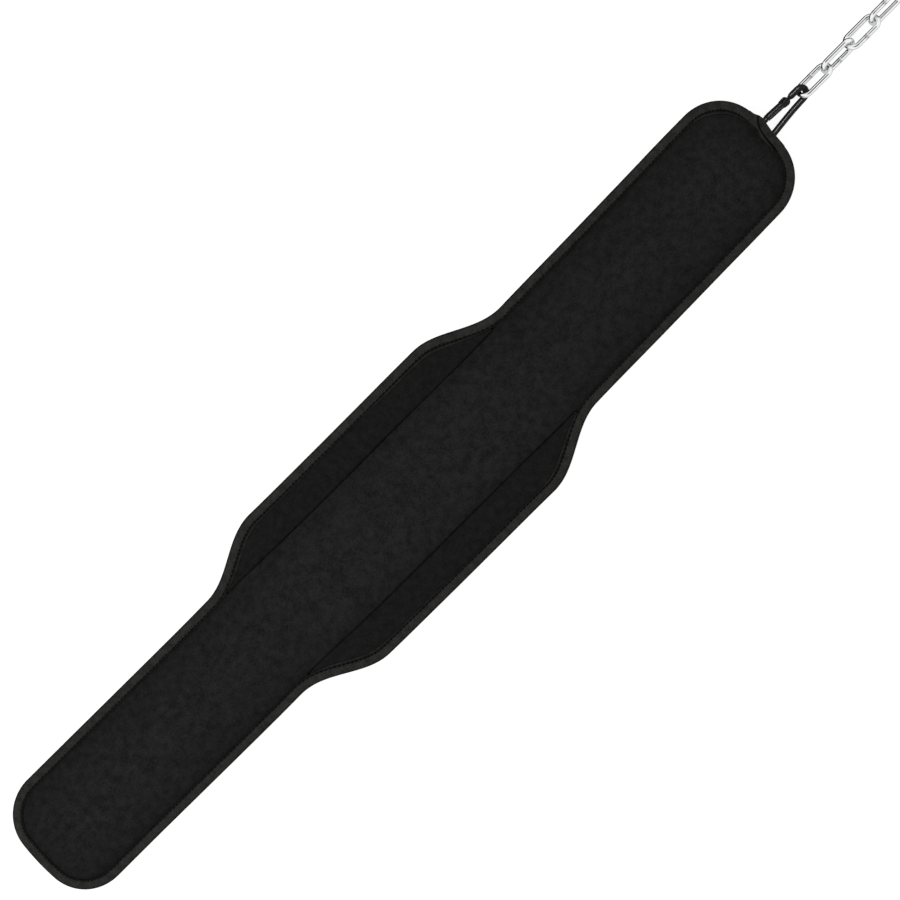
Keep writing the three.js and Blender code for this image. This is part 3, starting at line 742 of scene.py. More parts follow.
# %% The centre band
band, band_deep, rows_y, rows_x = centre_pad()
band_x, band_y = np.abs(coordinates(band)[:, :2] / mm).T
crease_held, past_wing, rim_held = 2.5, 8, 12
on_crease = (np.abs(band_y - seam_offset) < crease_held) & (band_x < wing_end + past_wing)
is_top = np.arange(len(band_x)) < rows_y * rows_x
held = ~is_top | on_crease
held[:rows_y * rows_x] |= band_deep < rim_held
puff(band, held, pressure=3.0, cap=0.45)
finish_pad(band, ["centre_band"])

# %% [markdown]
# ## The wings
# Outside each crease the padding is a long sliver with its own low crown. It could be cut from the
# band's grid, but its rows would then cross the crease. Here they run from the crease to the tape,
# so both edges stay sharp.

# %% Both wings
wing_columns, wing_rows = 161, 23
wing_crown, wing_rim_drop, wing_rim_run = 6.4, 1.4, 4.5
# Painted shade: the wings' lining is darkened all over.
wing_shade = 0.5
least_thickness = 0.8
wing_rim_held, wing_crease_held, wing_end_held = 11.5, 2, 6


def wing_pad(name, side):
    columns = np.linspace(-wing_end, wing_end, wing_columns)
    across = (1 - np.cos(np.linspace(0, 1, wing_rows) * math.pi)) / 2
    inner = seam_line(columns, side) + seam_gap
    outer = reach_at(columns, rim_inset)
    x = np.tile(columns, (len(across), 1))
    y = inner + (outer - inner) * across[:, None]
    flat_x, flat_y = x.ravel(), y.ravel()
    deep = inside(np.stack([flat_x, flat_y], 1))
    crown = np.interp(deep, rim_profile["inset"], rim_profile["high"])
    low_crown = wing_crown - wing_rim_drop * np.exp(-np.maximum(deep - tape_wall, 0) / wing_rim_run)
    top = np.minimum(crown, low_crown)
    out = np.maximum(flat_y - np.tile(inner, (len(across), 1)).ravel(), 0)
    top -= np.interp(out, crease_wing["out"], crease_wing["drop"])
    under = np.interp(deep, under_profile["inset"], under_profile["high"])
    upper = np.stack([flat_x, side * flat_y, top], 1)
    lean = seam_lean * np.repeat(1 - across, x.shape[1]) ** lean_power
    lower = np.stack([flat_x, side * (flat_y + lean), np.minimum(under, top - least_thickness)], 1)
    piece = close_grid(name, upper, lower, *x.shape, np.full(x.size, wing_shade))
    sewn = np.ones(2 * x.size, bool)
    past_end = np.abs(flat_x) > wing_end - wing_end_held
    sewn[:x.size] = (deep < wing_rim_held) | (out < wing_crease_held) | past_end
    puff(piece, sewn, pressure=2.5, cap=0.35)
    return piece


for label, side in (("left", 1), ("right", -1)):
    finish_pad(wing_pad(f"wing_pad_{label}", side), [f"wing_{label}"])

# %% [markdown]
# ## The binding tape
# The tape is one long strip, folded round the rim and sewn through both leaves. A bevelled curve
# would give it one fixed section, so its section is swept round the outline point by point instead.
# Each stitch pulls a small dimple, the free edge wanders a little, and the cloth puckers where it
# turns the corners. Those three are in the mesh and not only in the bump.

# %% Section of the tape
tape_outer = [(8.9, 0.12), (6, 0.0), (3.2, 0.0), (1.9, 0.12), (0.9, 0.6), (0.25, 1.5), (0.0, 2.7),
              (0.2, 3.85), (0.8, 4.75), (1.9, 5.28), (3.3, 5.42), (5.0, 5.36), (6.0, 5.22), (6.5, 5.02),
              (6.85, 4.78), (7.2, 4.6), (7.55, 4.78), (7.95, 5.0), (8.4, 5.12), (8.8, 5.08), (9.0, 4.85)]
tape_inner = [(8.95, 4.6), (8.5, 4.1), (6.0, 4.0), (2.2, 3.95), (1.0, 2.7), (2.2, 1.05),
              (6, 1.0), (8.9, 0.9)]
tape_section = np.array(tape_outer + tape_inner)
section_inset, section_height = tape_section.T


def bell(value, centre, width):
    return np.exp(-((value - centre) / width) ** 2)


section_top = np.arange(len(tape_section)) < len(tape_outer)
section_high = section_height > 4.05
free_share = np.clip((section_inset - 7.5) / 0.9, 0, 1) * section_high
groove = bell(section_inset, stitch_inset, 0.5) * (section_height > 4.5)
crown_part = bell(section_inset, 4.0, 2.2) * (section_height > 4.5)


def corner_share(line):
    """1 where the outline turns round a tip's corner, 0 on straight runs."""
    turn = np.arctan2(line[:, 3], line[:, 2])
    bend = np.abs(np.angle(np.exp(1j * (np.roll(turn, -3) - np.roll(turn, 3)))))
    return np.clip(bend / bend.max(), 0, 1)


def edge_wander(line, run):
    """How far the tape's free edge lies further in, or less, than its usual width."""
    x, y = line[:, 0], line[:, 1]
    shoulders = 1.5 * (bell(np.abs(x), 118, 34) + 0.4 * bell(np.abs(x), 60, 60))
    hook_corner = 2.2 * bell(x, 385, 26) * bell(y, 30, 26)
    plain_corner = -0.3 * bell(x, -390, 40) * bell(y, -25, 40)
    return wander(run, 26, 0.22, 21) + shoulders + hook_corner + plain_corner - 0.55


print("points round the tape's section:", len(tape_section))

# %% Sweep of the tape round the outline
pucker_straight, pucker_corner, pucker_share = 0.10, 0.16, 0.5
dimple_deep, dimple_least = 0.35, 0.1
over_pad_outer, over_pad_inner = 0.45, 0.12
roll_shade, flat_shade, dimple_shade = 0.9, 0.6, 0.8


def edge_binding():
    stitches_round = round(edge_length / stitch_pitch)
    count = 4 * stitches_round
    line, run, length = whole_line(count)
    stitch = length / stitches_round
    corner = corner_share(line)
    dash = 0.5 + 0.5 * np.cos(2 * math.pi * run / stitch)
    shift = edge_wander(line, run)
    pucker = np.sin(run / stitch * math.pi + 0.7) * (pucker_straight + pucker_corner * corner)
    points, places, shade = [], [], []
    around = np.concatenate([[0], np.cumsum(np.hypot(*np.diff(tape_section, axis=0).T))])
    clear = np.where(section_top, over_pad_outer, over_pad_inner)
    for i in range(count):
        x, y, nx, ny = line[i]
        inset = section_inset + free_share * shift[i]
        dimple = groove * (dimple_deep * dash[i] - dimple_least)
        high = section_height - dimple + crown_part * pucker[i] * pucker_share
        over_pad = np.interp(inset, rim_profile["inset"], rim_profile["high"]) + clear
        high = np.where(free_share > 0, np.maximum(high, over_pad), high)
        points.append(np.stack([x - nx * inset, y - ny * inset, lift(x - nx * inset) + high], 1))
        places.append(np.stack([np.full(len(inset), run[i]), around, np.zeros(len(inset))], 1))
        # Painted shade: the rolled rim, the flat band inside the stitches and the stitch dimples are
        # darkened; the free edge's ridge is spared, so it reads lighter.
        flat_part = flat_shade * np.clip((section_inset - 7.0) / 0.4, 0, 1) * section_high
        ridge = np.clip((section_inset - 8.2) / 0.3, 0, 1) * np.clip(shift[i] / 0.8, 0, 1)
        rolled = roll_shade * np.clip(1 - section_inset / 1.6, 0, 1)
        dimples = groove * (0.1 + dimple_shade * dash[i])
        shade.append(np.clip(rolled + flat_part * (1 - ridge) + dimples, 0, 1))
    faces = ring_faces(count, len(tape_section), True)
    piece = make_piece("tape_binding", np.vstack(points), faces, np.vstack(places), np.concatenate(shade))
    return outward(piece)


finish_piece(lay(edge_binding()), edge_tape, "edge_tape", "root", "edge_binding")

# %% [markdown]
# ## The stitches
# One line of lockstitch holds the tape. Each stitch is a short thread that dives into the cloth at
# both ends. A bump line would vanish from the side, so the threads are real. They are all alike:
# one short capsule is made again and again along the edge, above and below.

# %% Stitches round the edge
thread_half = 0.36
thread_sides, thread_stations = 6, 7
thread_share, thread_dive = 0.74, 0.55
thread_above, thread_below = 4.5, 0.28


def stitch_line():
    total = round(edge_length / stitch_pitch)
    line, run, length = whole_line(total)
    step = length / total
    points, faces = [], []
    for k in range(total):
        x, y, nx, ny = line[k]
        centre = np.array([x - nx * stitch_inset, y - ny * stitch_inset])
        along = np.array([-ny, nx])
        for level, dive in ((thread_above, -1), (thread_below, 1)):
            first = len(points) * thread_sides
            for j in range(thread_stations):
                share = j / (thread_stations - 1) - 0.5
                spot = centre + along * share * step * thread_share
                radius = thread_half * math.sqrt(max(1 - (2 * share) ** 4, 0.06))
                middle = lift(spot[0]) + level + dive * thread_dive * (2 * share) ** 4
                ring = []
                for m in range(thread_sides):
                    turn = 2 * math.pi * m / thread_sides
                    flat = spot + np.array([nx, ny]) * radius * math.cos(turn)
                    ring.append((flat[0], flat[1], middle + radius * math.sin(turn)))
                points.append(ring)
            faces += ring_faces(thread_stations, thread_sides, False, first)
    piece = make_piece("edge_stitches", np.array(points).reshape(-1, 3), faces)
    return outward(piece), total


stitches, stitch_count = stitch_line()
finish_piece(lay(stitches), thread, "edge_tape", "root")
print("stitches:", stitch_count)

# %% [markdown]
# ## The lapped join
# The tape starts and ends at the hook tip. Its end is folded under and laid over the start, so that
# place is thicker, bulges softly past the outline and shows a curved fold with a ridge beside it.
# It is swept like the tape, over it. A fold drawn only as a dark line would look printed, so each
# place is sunk or raised by its distance from the fold's line, and the same distance paints shade
# on it: dark along the fold, lighter on the ridge.

# %% Section, bulge and fold line of the lap
lap_from, lap_to = 19.6, -18.6
lap_outer = [(6.2, -0.62), (3.0, -0.66), (1.2, -0.45), (0.25, 0.2), (-0.12, 1.3), (-0.22, 2.7), (-0.1, 4.0),
             (0.3, 4.95), (1.1, 5.55), (2.6, 5.8), (4.6, 5.78), (6.0, 5.62), (6.7, 5.38), (7.2, 5.2),
             (7.8, 5.4), (8.6, 5.5), (9.3, 5.4), (9.6, 5.1)]
lap_inner = [(9.5, 4.9), (8.0, 4.85), (6.0, 4.95), (2.6, 5.1), (0.8, 4.6), (0.3, 2.7), (0.9, 0.5),
             (2.6, -0.1), (6.2, -0.15)]
lap_bulge = {"y": (-18.6, -8.5, -2.9, 3.6, 8.0, 11.5, 15.4, 19.6),
             "out": (0, 0, 0.2, 1.35, 2.3, 1.9, 0.3, 0)}
fold_line = np.array([(-1.5, 14.0), (0.3, 12.5), (2.2, 10.6), (3.7, 8.3), (5.6, 3.6), (6.5, -0.6),
                      (6.9, -5.0), (7.2, -12.9), (8.0, -15.6), (9.4, -17.4)])


def fine_section(outer, inner, step):
    """Even points round a section, their run, and which of them are on its outer side."""
    rough = np.array(outer + inner, float)
    run = np.concatenate([[0], np.cumsum(np.hypot(*np.diff(rough, axis=0).T))])
    even = np.linspace(0, run[-1], int(run[-1] / step))
    fine = np.stack([np.interp(even, run, rough[:, k]) for k in (0, 1)], 1)
    return fine, even, even < run[len(outer) - 1]


def from_fold(inset, y):
    """Distance from the fold's line, and whether a place is on the line's inner side."""
    places = np.stack([inset, y], 1)[:, None]
    a, b = fold_line[:-1], fold_line[1:]
    share = np.clip(((places - a) * (b - a)).sum(2) / ((b - a) ** 2).sum(1), 0, 1)
    gap = np.sqrt(((places - a - share[..., None] * (b - a)) ** 2).sum(2)).min(1)
    return gap, y > np.interp(inset, fold_line[:, 0], fold_line[:, 1])


print("lap, mm across the tip:", lap_from - lap_to)

# %% The lap
lap_step, lap_stations = 0.36, 108
outer_layer, inner_layer = 0.42, 0.1
crease_half, crease_sink, fold_crease_shade = 0.5, 0.35, 0.95
ridge_at, ridge_half, ridge_rise = 1.15, 0.6, 0.4


def tape_lap():
    section, around, top = fine_section(lap_outer, lap_inner, lap_step)
    top &= section[:, 1] > 4.6
    points, places, shade = [], [], []
    for k in range(lap_stations):
        share = k / (lap_stations - 1)
        y = lap_from + (lap_to - lap_from) * share
        inset, high = section[:, 0].copy(), section[:, 1].copy()
        gap, inner_side = from_fold(inset, np.full(len(inset), y))
        fade = float(ease(min(share, 1 - share) * 7))
        crease = bell(gap, 0, crease_half)
        ridge = bell(gap, ridge_at, ridge_half) * inner_side
        layer = np.where(inner_side, inner_layer, outer_layer) * np.clip(gap / 0.8, 0, 1)
        folded = layer - crease_sink * crease + ridge_rise * ridge
        high += top * fade * folded - top * (1 - fade) * 0.3
        out = np.interp(y, lap_bulge["y"], lap_bulge["out"])
        inset -= out * np.clip(1 - inset / 5, 0, 1)
        inset += 0.7 * math.sin(share * math.pi) * (inset > 7.8)
        turn = math.asin(y / tip_face_radius)
        x = belt_half - tip_face_radius * (1 - math.cos(turn)) - math.cos(turn) * inset
        across = y - math.sin(turn) * inset
        points.append(np.stack([x, across, lift(x) + high], 1))
        places.append(np.stack([np.full(len(inset), share * (lap_from - lap_to)), around,
                                np.zeros(len(inset))], 1))
        # Painted shade: a little darker all over, darker inside the stitches, along the fold's crease and
        # on the stitch groove near one end; the ridge is left lighter.
        flat_part = 0.55 * np.clip((section[:, 0] - 6.6) / 0.6, 0, 1) * top
        seam = 0.85 * bell(section[:, 0], stitch_inset, 0.45) * (y < -13) * top
        tone = 0.12 + flat_part * (1 - ridge) + fold_crease_shade * crease * fade * top + seam - 0.12 * ridge
        shade.append(np.clip(tone, 0, 1))
    piece = make_piece("tape_lap", np.vstack(points), ring_faces(lap_stations, len(section), False),
                       np.vstack(places), np.concatenate(shade))
    return outward(piece)


finish_piece(lay(tape_lap()), edge_tape, "edge_tape", "root", "binding_lap")

# %% [markdown]
# ## The snap hook
# A snap hook is bent from one rod, with a flat neck where its gate is riveted. Joined by hand, its
# parts would meet in hard seams. So rod, neck and rivet are made as separate closed shapes and
# fused by a voxel remesh, and a few rounds of smoothing melt the joints, as forging and paint do.

# %% Frame of the hook and its rod
hook_swing, hook_pitch, hook_roll = math.radians(1.6), math.radians(1.15), math.radians(34.7)
hook_place = (Matrix.Translation((447.85 * mm, 3.3396 * mm, 6.2207 * mm))
              @ Matrix.Rotation(hook_swing, 4, "Z")
              @ Matrix.Rotation(hook_pitch, 4, "Y")
              @ Matrix.Rotation(hook_roll, 4, "X"))
hook_half, hook_wide = 2.45, 2.58
nose_radius, eye_radius = 5.0, 8.3
hook_length, hook_wire = 61.7, 4.9
hook_run = hook_length - hook_wire
fork_radius, neck_half = 3.4, 2.1
gate_pin_back, gate_length = 17.9, 19.6
arm_rows = {"back": (0, 0.2, 0.32, 0.55, 0.8, 1), "spread": (0, 0.06, 0.13, 0.39, 0.74, 1)}


def arm_reach(x):
    back = (-x - nose_radius) / (hook_run - eye_radius - nose_radius)
    return nose_radius + (eye_radius - nose_radius) * np.interp(back, arm_rows["back"], arm_rows["spread"])


pin_y = float(arm_reach(-gate_pin_back))
print("gate pin, mm from the spine's middle line:", round(pin_y, 2))


def smooth_line(stops, count):
    """Even places along a line through stops, eased by a short running average."""
    stops = np.array(stops, float)
    run = np.concatenate([[0], np.cumsum(np.hypot(*np.diff(stops[:, :2], axis=0).T))])
    even = np.linspace(0, run[-1], count)
    line = np.stack([np.interp(even, run, stops[:, k]) for k in range(stops.shape[1])], 1)
    return soften(line, 12)


def rod_mesh(line, sides, closed=False):
    """Rod along a flat line whose rows are x, y, half width and half height."""
    ahead = np.roll(line, -1, 0) if closed else np.vstack([line[1:], line[-1:]])
    behind = np.roll(line, 1, 0) if closed else np.vstack([line[:1], line[:-1]])
    along = (ahead - behind)[:, :2]
    along /= np.linalg.norm(along, axis=1)[:, None]
    turn = 2 * math.pi * np.arange(sides) / sides
    out = line[:, 2:3] * np.cos(turn)
    points = np.stack([line[:, 0:1] + along[:, 1:2] * out, line[:, 1:2] - along[:, 0:1] * out,
                       line[:, 3:4] * np.sin(turn)], 2).reshape(-1, 3)
    return points, ring_faces(len(line), sides, closed)


def hook_line():
    """The rod's middle line: neck, nose, spine, eye, and on to where the gate closes."""
    neck_end = -gate_pin_back + fork_radius + 1.1
    stops = [(neck_end + on, arm_reach(neck_end + on), half, high)
             for on, half, high in ((0, 2.2, 2.0), (1.0, 2.8, 2.4), (3.5, 2.7, hook_half))]
    for turn in np.linspace(math.pi / 2, -math.pi / 2, 30):
        swell = 1 + 0.06 * max(0, math.sin(turn))
        stops.append((-nose_radius + nose_radius * math.cos(turn), nose_radius * math.sin(turn),
                      hook_wide * swell, hook_half))
    for x in np.linspace(-nose_radius, -hook_run + eye_radius, 30)[1:-1]:
        stops.append((x, -float(arm_reach(x)), hook_wide, hook_half))
    for turn in np.linspace(-math.pi / 2, -1.5 * math.pi, 40):
        stops.append((-hook_run + eye_radius + eye_radius * math.cos(turn), eye_radius * math.sin(turn),
                      hook_half, hook_half))
    end = -gate_pin_back - gate_length - 0.3
    stops.append((end, arm_reach(end), hook_half, hook_half))
    return smooth_line(stops, 260)


# %% Discs, and fusing parts into one skin
def disc_mesh(x, y, rows, sides=32):
    """Turned shape on an upright axis; rows are radius and height."""
    turn = 2 * math.pi * np.arange(sides) / sides
    points = np.vstack([np.stack([x + r * np.cos(turn), y + r * np.sin(turn), np.full(sides, h)], 1)
                        for r, h in rows])
    return points, ring_faces(len(rows), sides, False)


def gather(parts):
    points, faces = [], []
    for part_points, part_faces in parts:
        base = sum(len(p) for p in points)
        points.append(part_points)
        faces += [tuple(v + base for v in face) for face in part_faces]
    return np.vstack(points), faces


def fuse(name, parts, voxel, rounds):
    """Fuses closed shapes into one skin and melts their joints."""
    points, faces = gather(parts)
    piece = outward(make_piece(name, points, faces))
    remesh = piece.modifiers.new("fuse", "REMESH")
    remesh.mode = "VOXEL"
    remesh.voxel_size = voxel * mm
    melt = piece.modifiers.new("melt", "SMOOTH")
    melt.factor, melt.iterations = 0.5, rounds
    run_modifiers(piece)
    return piece


neck_thick, rivet_half = 0.8, 0.8
rivet_head = [(1.7, 2.9), (1.7, 3.12), (1.35, 3.3), (0.7, 3.4)]


def hook_piece():
    neck_end = -gate_pin_back + fork_radius + 1.9
    strip = np.array([(-gate_pin_back, pin_y, neck_half, neck_thick),
                      (neck_end, float(arm_reach(neck_end)), neck_half, neck_thick)])
    shank = [(rivet_half, -3.3), (rivet_half, 3.3)]
    lower_head = [(radius, -high) for radius, high in rivet_head[::-1]]
    neck_disc = [(neck_half, -neck_thick), (neck_half, neck_thick)]
    parts = [rod_mesh(hook_line(), 28), rod_mesh(strip, 16)]
    parts += [disc_mesh(-gate_pin_back, pin_y, rows) for rows in (shank, rivet_head, lower_head, neck_disc)]
    piece = fuse("snap_hook", parts, 0.22, 3)
    piece.data.transform(hook_place)
    return piece


finish_piece(hook_piece(), black_steel, "black_steel", "root", "hook_body")

# %% [markdown]
# ## The gate
# The gate is a folded channel with a groove down its back, and two ears that straddle the neck. A
# plain rod would do from afar, but the groove catches the light in the photo's view, so each ring
# of the bar is a rounded square that dips at its middle. The bar stops short of the neck, and only
# the ears go on past it.

# %% Gate
gate_out, gate_up = 2.66, 2.5
gate_stations, gate_sides, squareness = 60, 40, 3.2
groove_half, groove_deep = 0.42, 0.55
ear_low, ear_high, ear_radius, ear_edge = 1.12, 2.58, 3.0, 2.7


def gate_piece():
    slope = math.atan2(float(arm_reach(-gate_pin_back - gate_length)) - pin_y, gate_length)
    turn = 2 * math.pi * np.arange(gate_sides) / gate_sides
    square = (np.abs(np.cos(turn)) ** squareness + np.abs(np.sin(turn)) ** squareness) ** (-1 / squareness)
    rings = []
    for back in np.linspace(0.5, gate_length, gate_stations):
        x, y = -gate_pin_back - back, pin_y + math.tan(slope) * back
        end_round = min(1.0, (gate_length - back) / 0.5 * 0.25 + 0.82)
        out = gate_out * square * np.cos(turn) * end_round
        up = gate_up * square * np.sin(turn) * end_round
        channel = bell(out, 0, groove_half) * groove_deep * min(1, back / 3) * (up > 0)
        band = 0.22 * bell(back, gate_length - 1.6, 0.3)
        rings.append(np.stack([np.full(gate_sides, x), y + out * (1 - band), up - channel], 1))
    bar = (np.vstack(rings), ring_faces(gate_stations, gate_sides, False))
    ears = []
    for low, high in ((ear_low, ear_high), (-ear_high, -ear_low)):
        rows = [(ear_edge, low), (ear_radius, low + 0.2), (ear_radius, high - 0.3), (ear_edge, high)]
        ears.append(disc_mesh(-gate_pin_back, pin_y, rows, 40))
        cheek = []
        for back in (0, 2.2, 4.2):
            y = pin_y + math.tan(slope) * back
            half = 2.9 - 0.12 * back
            cheek.append([(-gate_pin_back - back, y - half, low), (-gate_pin_back - back, y + half, low),
                          (-gate_pin_back - back, y + half, high), (-gate_pin_back - back, y - half, high)])
        ears.append((np.array(cheek).reshape(-1, 3), ring_faces(3, 4, False)))
    piece = fuse("snap_gate", [cut_slot(bar)] + ears, 0.17, 2)
    piece.data.transform(hook_place)
    return piece


def cut_slot(bar):
    """Draws the bar's first stations back, so that the neck has room between the ears."""
    points, faces = bar
    points = points.copy()
    slot_end = -gate_pin_back - 2.6
    front = points[:, 0] > slot_end
    points[front, 0] = slot_end - (slot_end - points[front, 0]) * 0.02
    return points, faces


finish_piece(gate_piece(), black_steel, "black_steel", "gate", "hook_gate")

# %% [markdown]
# ## The chain
# Each link is a piece of drawn wire, bent to an oval and butt-welded in the middle of one side. The
# weld is a low collar with a fine notch and a dull heat mark. A stretched torus would stretch its
# wire too, so a round section is swept along the oval, and only its radius changes at the weld.

# %% Links
link_rows = [{"place": (457.375, 3.1, 6.2979), "roll": -39.5, "weld": 1},
             {"place": (483.075, 3.4, 6.9479), "roll": 54.8, "weld": -1},
             {"place": (508.775, 3.5, 6.9479), "roll": -27.5, "weld": -1},
             {"place": (534.475, 3.7, 6.9479), "roll": 55.1, "weld": 1}]
link_inner, link_wire, link_bend, link_sides = 26.15, 4.2, 5.85, 24
link_centre, wire_half = (link_inner + link_wire) / 2 - link_bend, link_wire / 2
collar_high, collar_half, notch_deep, notch_half = 0.22, 0.95, 0.42, 0.3


def link_piece(number, row):
    stops = []
    for end in (1, -1):
        for turn in np.linspace(-math.pi / 2, math.pi / 2, 40):
            x = end * (link_centre + link_bend * math.cos(turn))
            stops.append((x, end * link_bend * math.sin(turn)))
        stops += [(x, end * link_bend) for x in end * np.linspace(link_centre, -link_centre, 60)[1:-1]]
    line = np.array(stops)
    weld_gap = np.hypot(line[:, 0] - 0.6 * row["weld"], line[:, 1] - row["weld"] * link_bend)
    collar, notch = bell(weld_gap, 0, collar_half), bell(weld_gap, 0, notch_half)
    half = wire_half + (collar_high * collar - notch_deep * notch)
    points, faces = rod_mesh(np.column_stack([line, half, half]), link_sides, closed=True)
    heat = np.repeat(bell(weld_gap, 0, 1.5) * 0.55 + bell(weld_gap, 0, 0.35) * 0.4, link_sides)
    piece = outward(make_piece(f"link_{number}", points, faces, painted_shade_and_weld_heat=np.clip(heat, 0, 1)))
    piece.data.transform(Matrix.Translation(Vector(row["place"]) * mm)
                         @ Matrix.Rotation(math.radians(row["roll"]), 4, "X"))
    return piece


for number, row in enumerate(link_rows, 1):
    finish_piece(link_piece(number, row), bright_zinc, "zinc_steel", "root", f"chain_link_{number}")

# %% [markdown]
# ## The hidden webbing loops
# Nobody sees them in the photo, but the hook has to hang from something. Each is one folded strap
# with rounded edges. A cloth solver would be slow for a strap this stiff and small, so it is swept
# along its fold, and the round of its eye is rolled with the hook that it holds.

# %% Webbing loops
strap_thin, strap_gap = 0.65, 0.3
hidden_gap, leaf_gap = 8, 1.6
strap_section = [(-4, 0), (-3.8, -0.5), (-3.3, -0.65), (3.3, -0.65), (3.8, -0.5),
                 (4, 0), (3.8, 0.5), (3.3, 0.65), (-3.3, 0.65), (-3.8, 0.5)]


def webbing_piece(name, eye, side, node):
    ride = eye["radius"] + strap_thin
    inside_x = eye["x"] - ride * 2 - hidden_gap
    tail = eye["x"] - eye["tail"]
    row = np.linspace(tail, inside_x, 26)
    upper = lift(side * row) - strap_gap - strap_thin - eye["z"]
    stops = [(x, v, 0) for x, v in zip(row, upper)]
    stops += [(eye["x"] + ride * math.cos(t), ride * math.sin(t), 1)
              for t in np.linspace(math.pi / 2, -math.pi / 2, 18)]
    stops += [(x, v - leaf_gap, 0) for x, v in zip(row[::-1], upper[::-1])]
    stops.append((tail - leaf_gap / 2, float(upper[0]) - leaf_gap / 2, 0))
    stops = np.array(stops)
    along = np.roll(stops, -1, 0)[:, :2] - np.roll(stops, 1, 0)[:, :2]
    along /= np.linalg.norm(along, axis=1)[:, None]
    run = np.concatenate([[0], np.cumsum(np.hypot(*np.diff(stops[:, :2], axis=0).T))])
    points, places = [], []
    for i, (x, v, twist) in enumerate(stops):
        roll = eye["roll"] * twist
        for wide, thick in strap_section:
            px = x - along[i, 1] * thick
            pv = v + along[i, 0] * thick
            points.append((side * px, eye["y"] + wide * math.cos(roll) - pv * math.sin(roll),
                           eye["z"] + wide * math.sin(roll) + pv * math.cos(roll)))
            places.append((run[i], wide, 0))
    piece = outward(make_piece(name, points, ring_faces(len(stops), len(strap_section), True), places))
    return finish_piece(piece, webbing, "webbing", "root", node)


def eye_of_hook():
    centre = hook_place @ Vector((-hook_run * mm, 0, 0))
    arc_rise = eye_radius - math.sqrt(eye_radius ** 2 - 16)
    return {"x": centre.x / mm + arc_rise / 2, "y": centre.y / mm, "z": centre.z / mm,
            "radius": hook_half + arc_rise / 2 + 0.9, "roll": hook_roll, "tail": 45}


def eye_of_plain_tip():
    x = belt_half - 12
    z = float(lift(-x)) - strap_gap - 2 * strap_thin - 1
    return {"x": x, "y": 0, "z": z, "radius": 1, "roll": 0, "tail": 28}


webbing_piece("webbing_hook", eye_of_hook(), 1, "anchor_loop_hook")
webbing_piece("webbing_plain", eye_of_plain_tip(), -1, "anchor_loop_plain")

# %% [markdown]
# ## The floor
# The belt lies on a plain floor that the photo shows as almost pure white, with only a breath of
# shadow. A lit white floor would turn grey near so black a cloth, and a brighter lamp would grey
# the cloth. So the floor glows: where the camera sees it, just enough to come out almost white, and
# less in the light that it sends back to the belt. It isn't mirrored in the chain.

# %% Floor
floor_half, floor_drop = 3.0, 0.0002


def make_floor():
    mesh = bpy.data.meshes.new("floor")
    corners = [(x * floor_half, y * floor_half, -floor_drop)
               for x, y in ((-1, -1), (1, -1), (1, 1), (-1, 1))]
    mesh.from_pydata(corners, [], [(0, 1, 2, 3)])
    floor = bpy.data.objects.new("floor", mesh)
    bpy.context.scene.collection.objects.link(floor)
    material, tree, shader = base_material("pale floor", 0.95, specular=0.1)
    seen = tree.nodes.new("ShaderNodeLightPath").outputs["Is Camera Ray"]
    for label, unseen_level, seen_level in (("Base Color", 0.9, 0.15), ("Emission Color", 0.55, 0.88)):
        tree.links.new(mix_colour(tree, seen, grey(unseen_level), grey(seen_level)), shader.inputs[label])
    shader.inputs["Emission Strength"].default_value = 1.0
    mesh.materials.append(material)
    floor.visible_glossy = False
    print("floor, m:", 2 * floor_half)


make_floor()

# %% [markdown]
# ## The light
# Black cloth wants even light, and bright wire wants contrast. One set of lamps can't give both, so
# the world does two jobs. For every soft bounce it is one even white. For a glossy one it is a
# white tent with dark bands, which draws the long dark lines along the wire. One soft key lamp
# gives the cloth its slight relief and isn't mirrored, and a narrow strip, linked to the hook and
# its gate alone, draws their highlights.

# %% Light
def soft_lamp(name, place, size, power, aim):
    data = bpy.data.lights.new(name, "AREA")
    data.shape, data.size, data.size_y, data.energy = "RECTANGLE", size[0], size[1], power
    lamp = bpy.data.objects.new(name, data)
    lamp.location = place
    lamp.rotation_euler = (Vector(aim) - Vector(place)).to_track_quat("-Z", "Y").to_euler()
    bpy.context.scene.collection.objects.link(lamp)
    return lamp


def tent_ramp(tree, across, rows):
    """Grey levels of the tent by how far a direction points across the belt, from -1 to 1."""
    ramp = tree.nodes.new("ShaderNodeValToRGB")
    tree.links.new(math_node(tree, "MULTIPLY_ADD", across, 0.5, 0.5), ramp.inputs[0])
    stops = ramp.color_ramp.elements
    for place, level in rows:
        known = {-1: 0, 1: len(stops) - 1}
        stop = stops[known[place]] if place in known else stops.new(place * 0.5 + 0.5)
        stop.color = (*grey(level), 1)
    print("tent stops:", [(round(e.position, 3), round(e.color[0], 3)) for e in stops])
    return ramp.outputs[0]


tent_strength, tent_even, tent_white = 1.1, 1.0, 0.95
tent_above = [(-1, 0.7), (-0.95, 0.8), (-0.9, 0.95), (-0.24, 0.95), (-0.2, 0.0), (0.45, 0.0), (0.5, 0.95),
              (0.93, 0.95), (0.96, 0.02), (1, 0.02)]
tent_below = [(-1, 0.6), (-0.1, 0.6), (0.1, 0.02), (1, 0.02)]
band_fade, horizon_fade = 5.0, 10.0


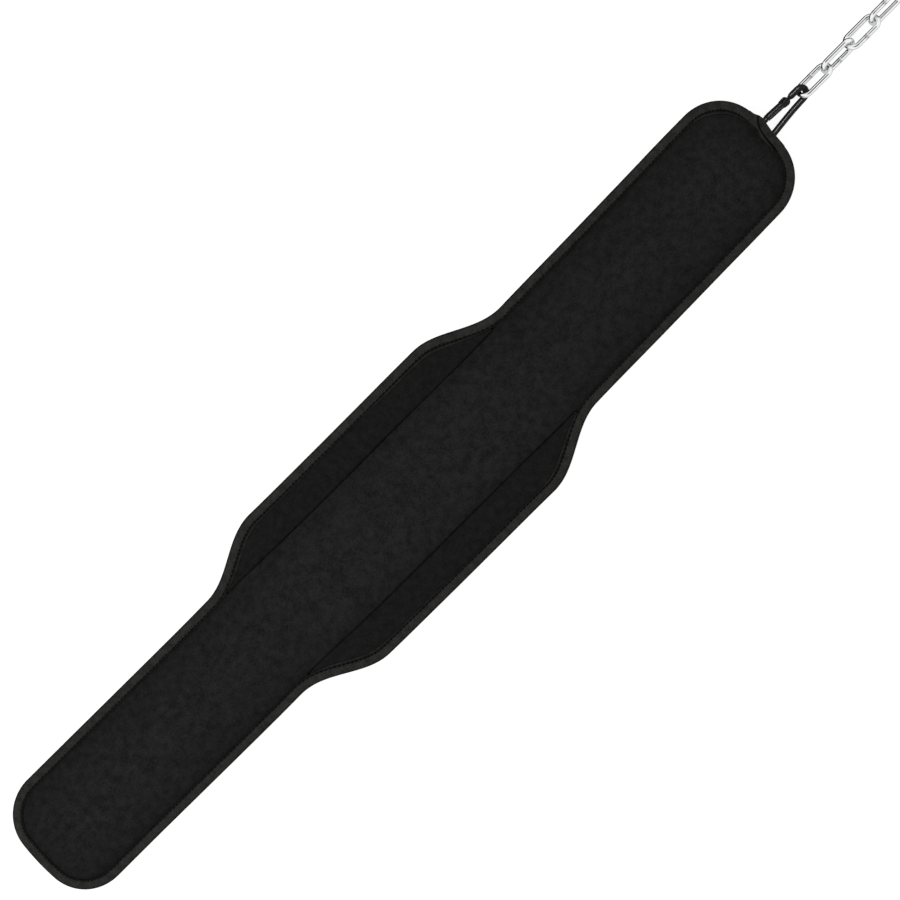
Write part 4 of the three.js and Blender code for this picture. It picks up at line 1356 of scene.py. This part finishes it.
def studio_world():
    """Even light on cloth. Gloss sees a white tent with a dark gap along the belt and a dark far side."""
    world = bpy.data.worlds.new("studio")
    world.use_nodes = True
    tree = world.node_tree
    split = tree.nodes.new("ShaderNodeSeparateXYZ")
    tree.links.new(tree.nodes.new("ShaderNodeTexCoord").outputs["Generated"], split.inputs[0])
    aside = math_node(tree, "ABSOLUTE", split.outputs["X"])
    off_line = math_node(tree, "MULTIPLY_ADD", aside, band_fade, -1.0)
    off_line.node.use_clamp = True
    above = mix_colour(tree, off_line, tent_ramp(tree, split.outputs["Y"], tent_above), grey(tent_white))
    below = tent_ramp(tree, split.outputs["Y"], tent_below)
    sky = math_node(tree, "MULTIPLY_ADD", split.outputs["Z"], horizon_fade, 0.5)
    sky.node.use_clamp = True
    tent = mix_colour(tree, sky, below, above)
    glossy = tree.nodes.new("ShaderNodeLightPath").outputs["Is Glossy Ray"]
    colour = mix_colour(tree, glossy, grey(tent_even), tent)
    tree.links.new(colour, tree.nodes["Background"].inputs["Color"])
    tree.nodes["Background"].inputs["Strength"].default_value = tent_strength
    bpy.context.scene.world = world


studio_world()
key_power, strip_power = 30, 24
soft_lamp("key", (-0.9, 0.3, 1.7), (1.2, 0.5), key_power, (-0.2, 0, 0)).visible_glossy = False

# %% A strip light for the hook alone
hook_strip = soft_lamp("strip", (0.43, 0.1, 0.8), (0.9, 0.1), strip_power, (0.43, 0.0, 0.0))
lit = bpy.data.collections.new("lit by the strip")
for name in ("snap_hook", "snap_gate"):
    lit.objects.link(bpy.data.objects[name])
hook_strip.light_linking.receiver_collection = lit
bpy.context.scene.view_settings.view_transform = "Standard"

# %% [markdown]
# ## The camera
# The photo looks almost straight down and shows the belt about 3% larger at the hook's end. A
# camera that only looks down can't do that, so this one stands a little towards that end and is
# tilted by three degrees. Its roll lays the belt along the picture's diagonal. The lens is given in
# pixels and turned into millimetres.

# %% Camera
camera_aim = Vector((56.41, 0.7, 0)) * mm
camera_far = 1.5
camera_tilt, camera_roll = math.radians(3.235), math.radians(-45.084)
lens_pixels, picture_pixels, sensor = 1908.4, 900, 36.0


def make_camera():
    data = bpy.data.cameras.new("camera")
    data.sensor_width = sensor
    data.lens = lens_pixels / picture_pixels * sensor
    data.clip_start, data.clip_end = 0.05, 20
    camera = bpy.data.objects.new("camera", data)
    turned = Matrix.Rotation(camera_tilt, 4, "Y")
    camera.matrix_world = (Matrix.Translation(camera_aim + turned @ Vector((0, 0, camera_far)))
                           @ turned @ Matrix.Rotation(camera_roll, 4, "Z"))
    bpy.context.scene.collection.objects.link(camera)
    bpy.context.scene.camera = camera


make_camera()
print("lens, mm:", round(bpy.context.scene.camera.data.lens, 2))
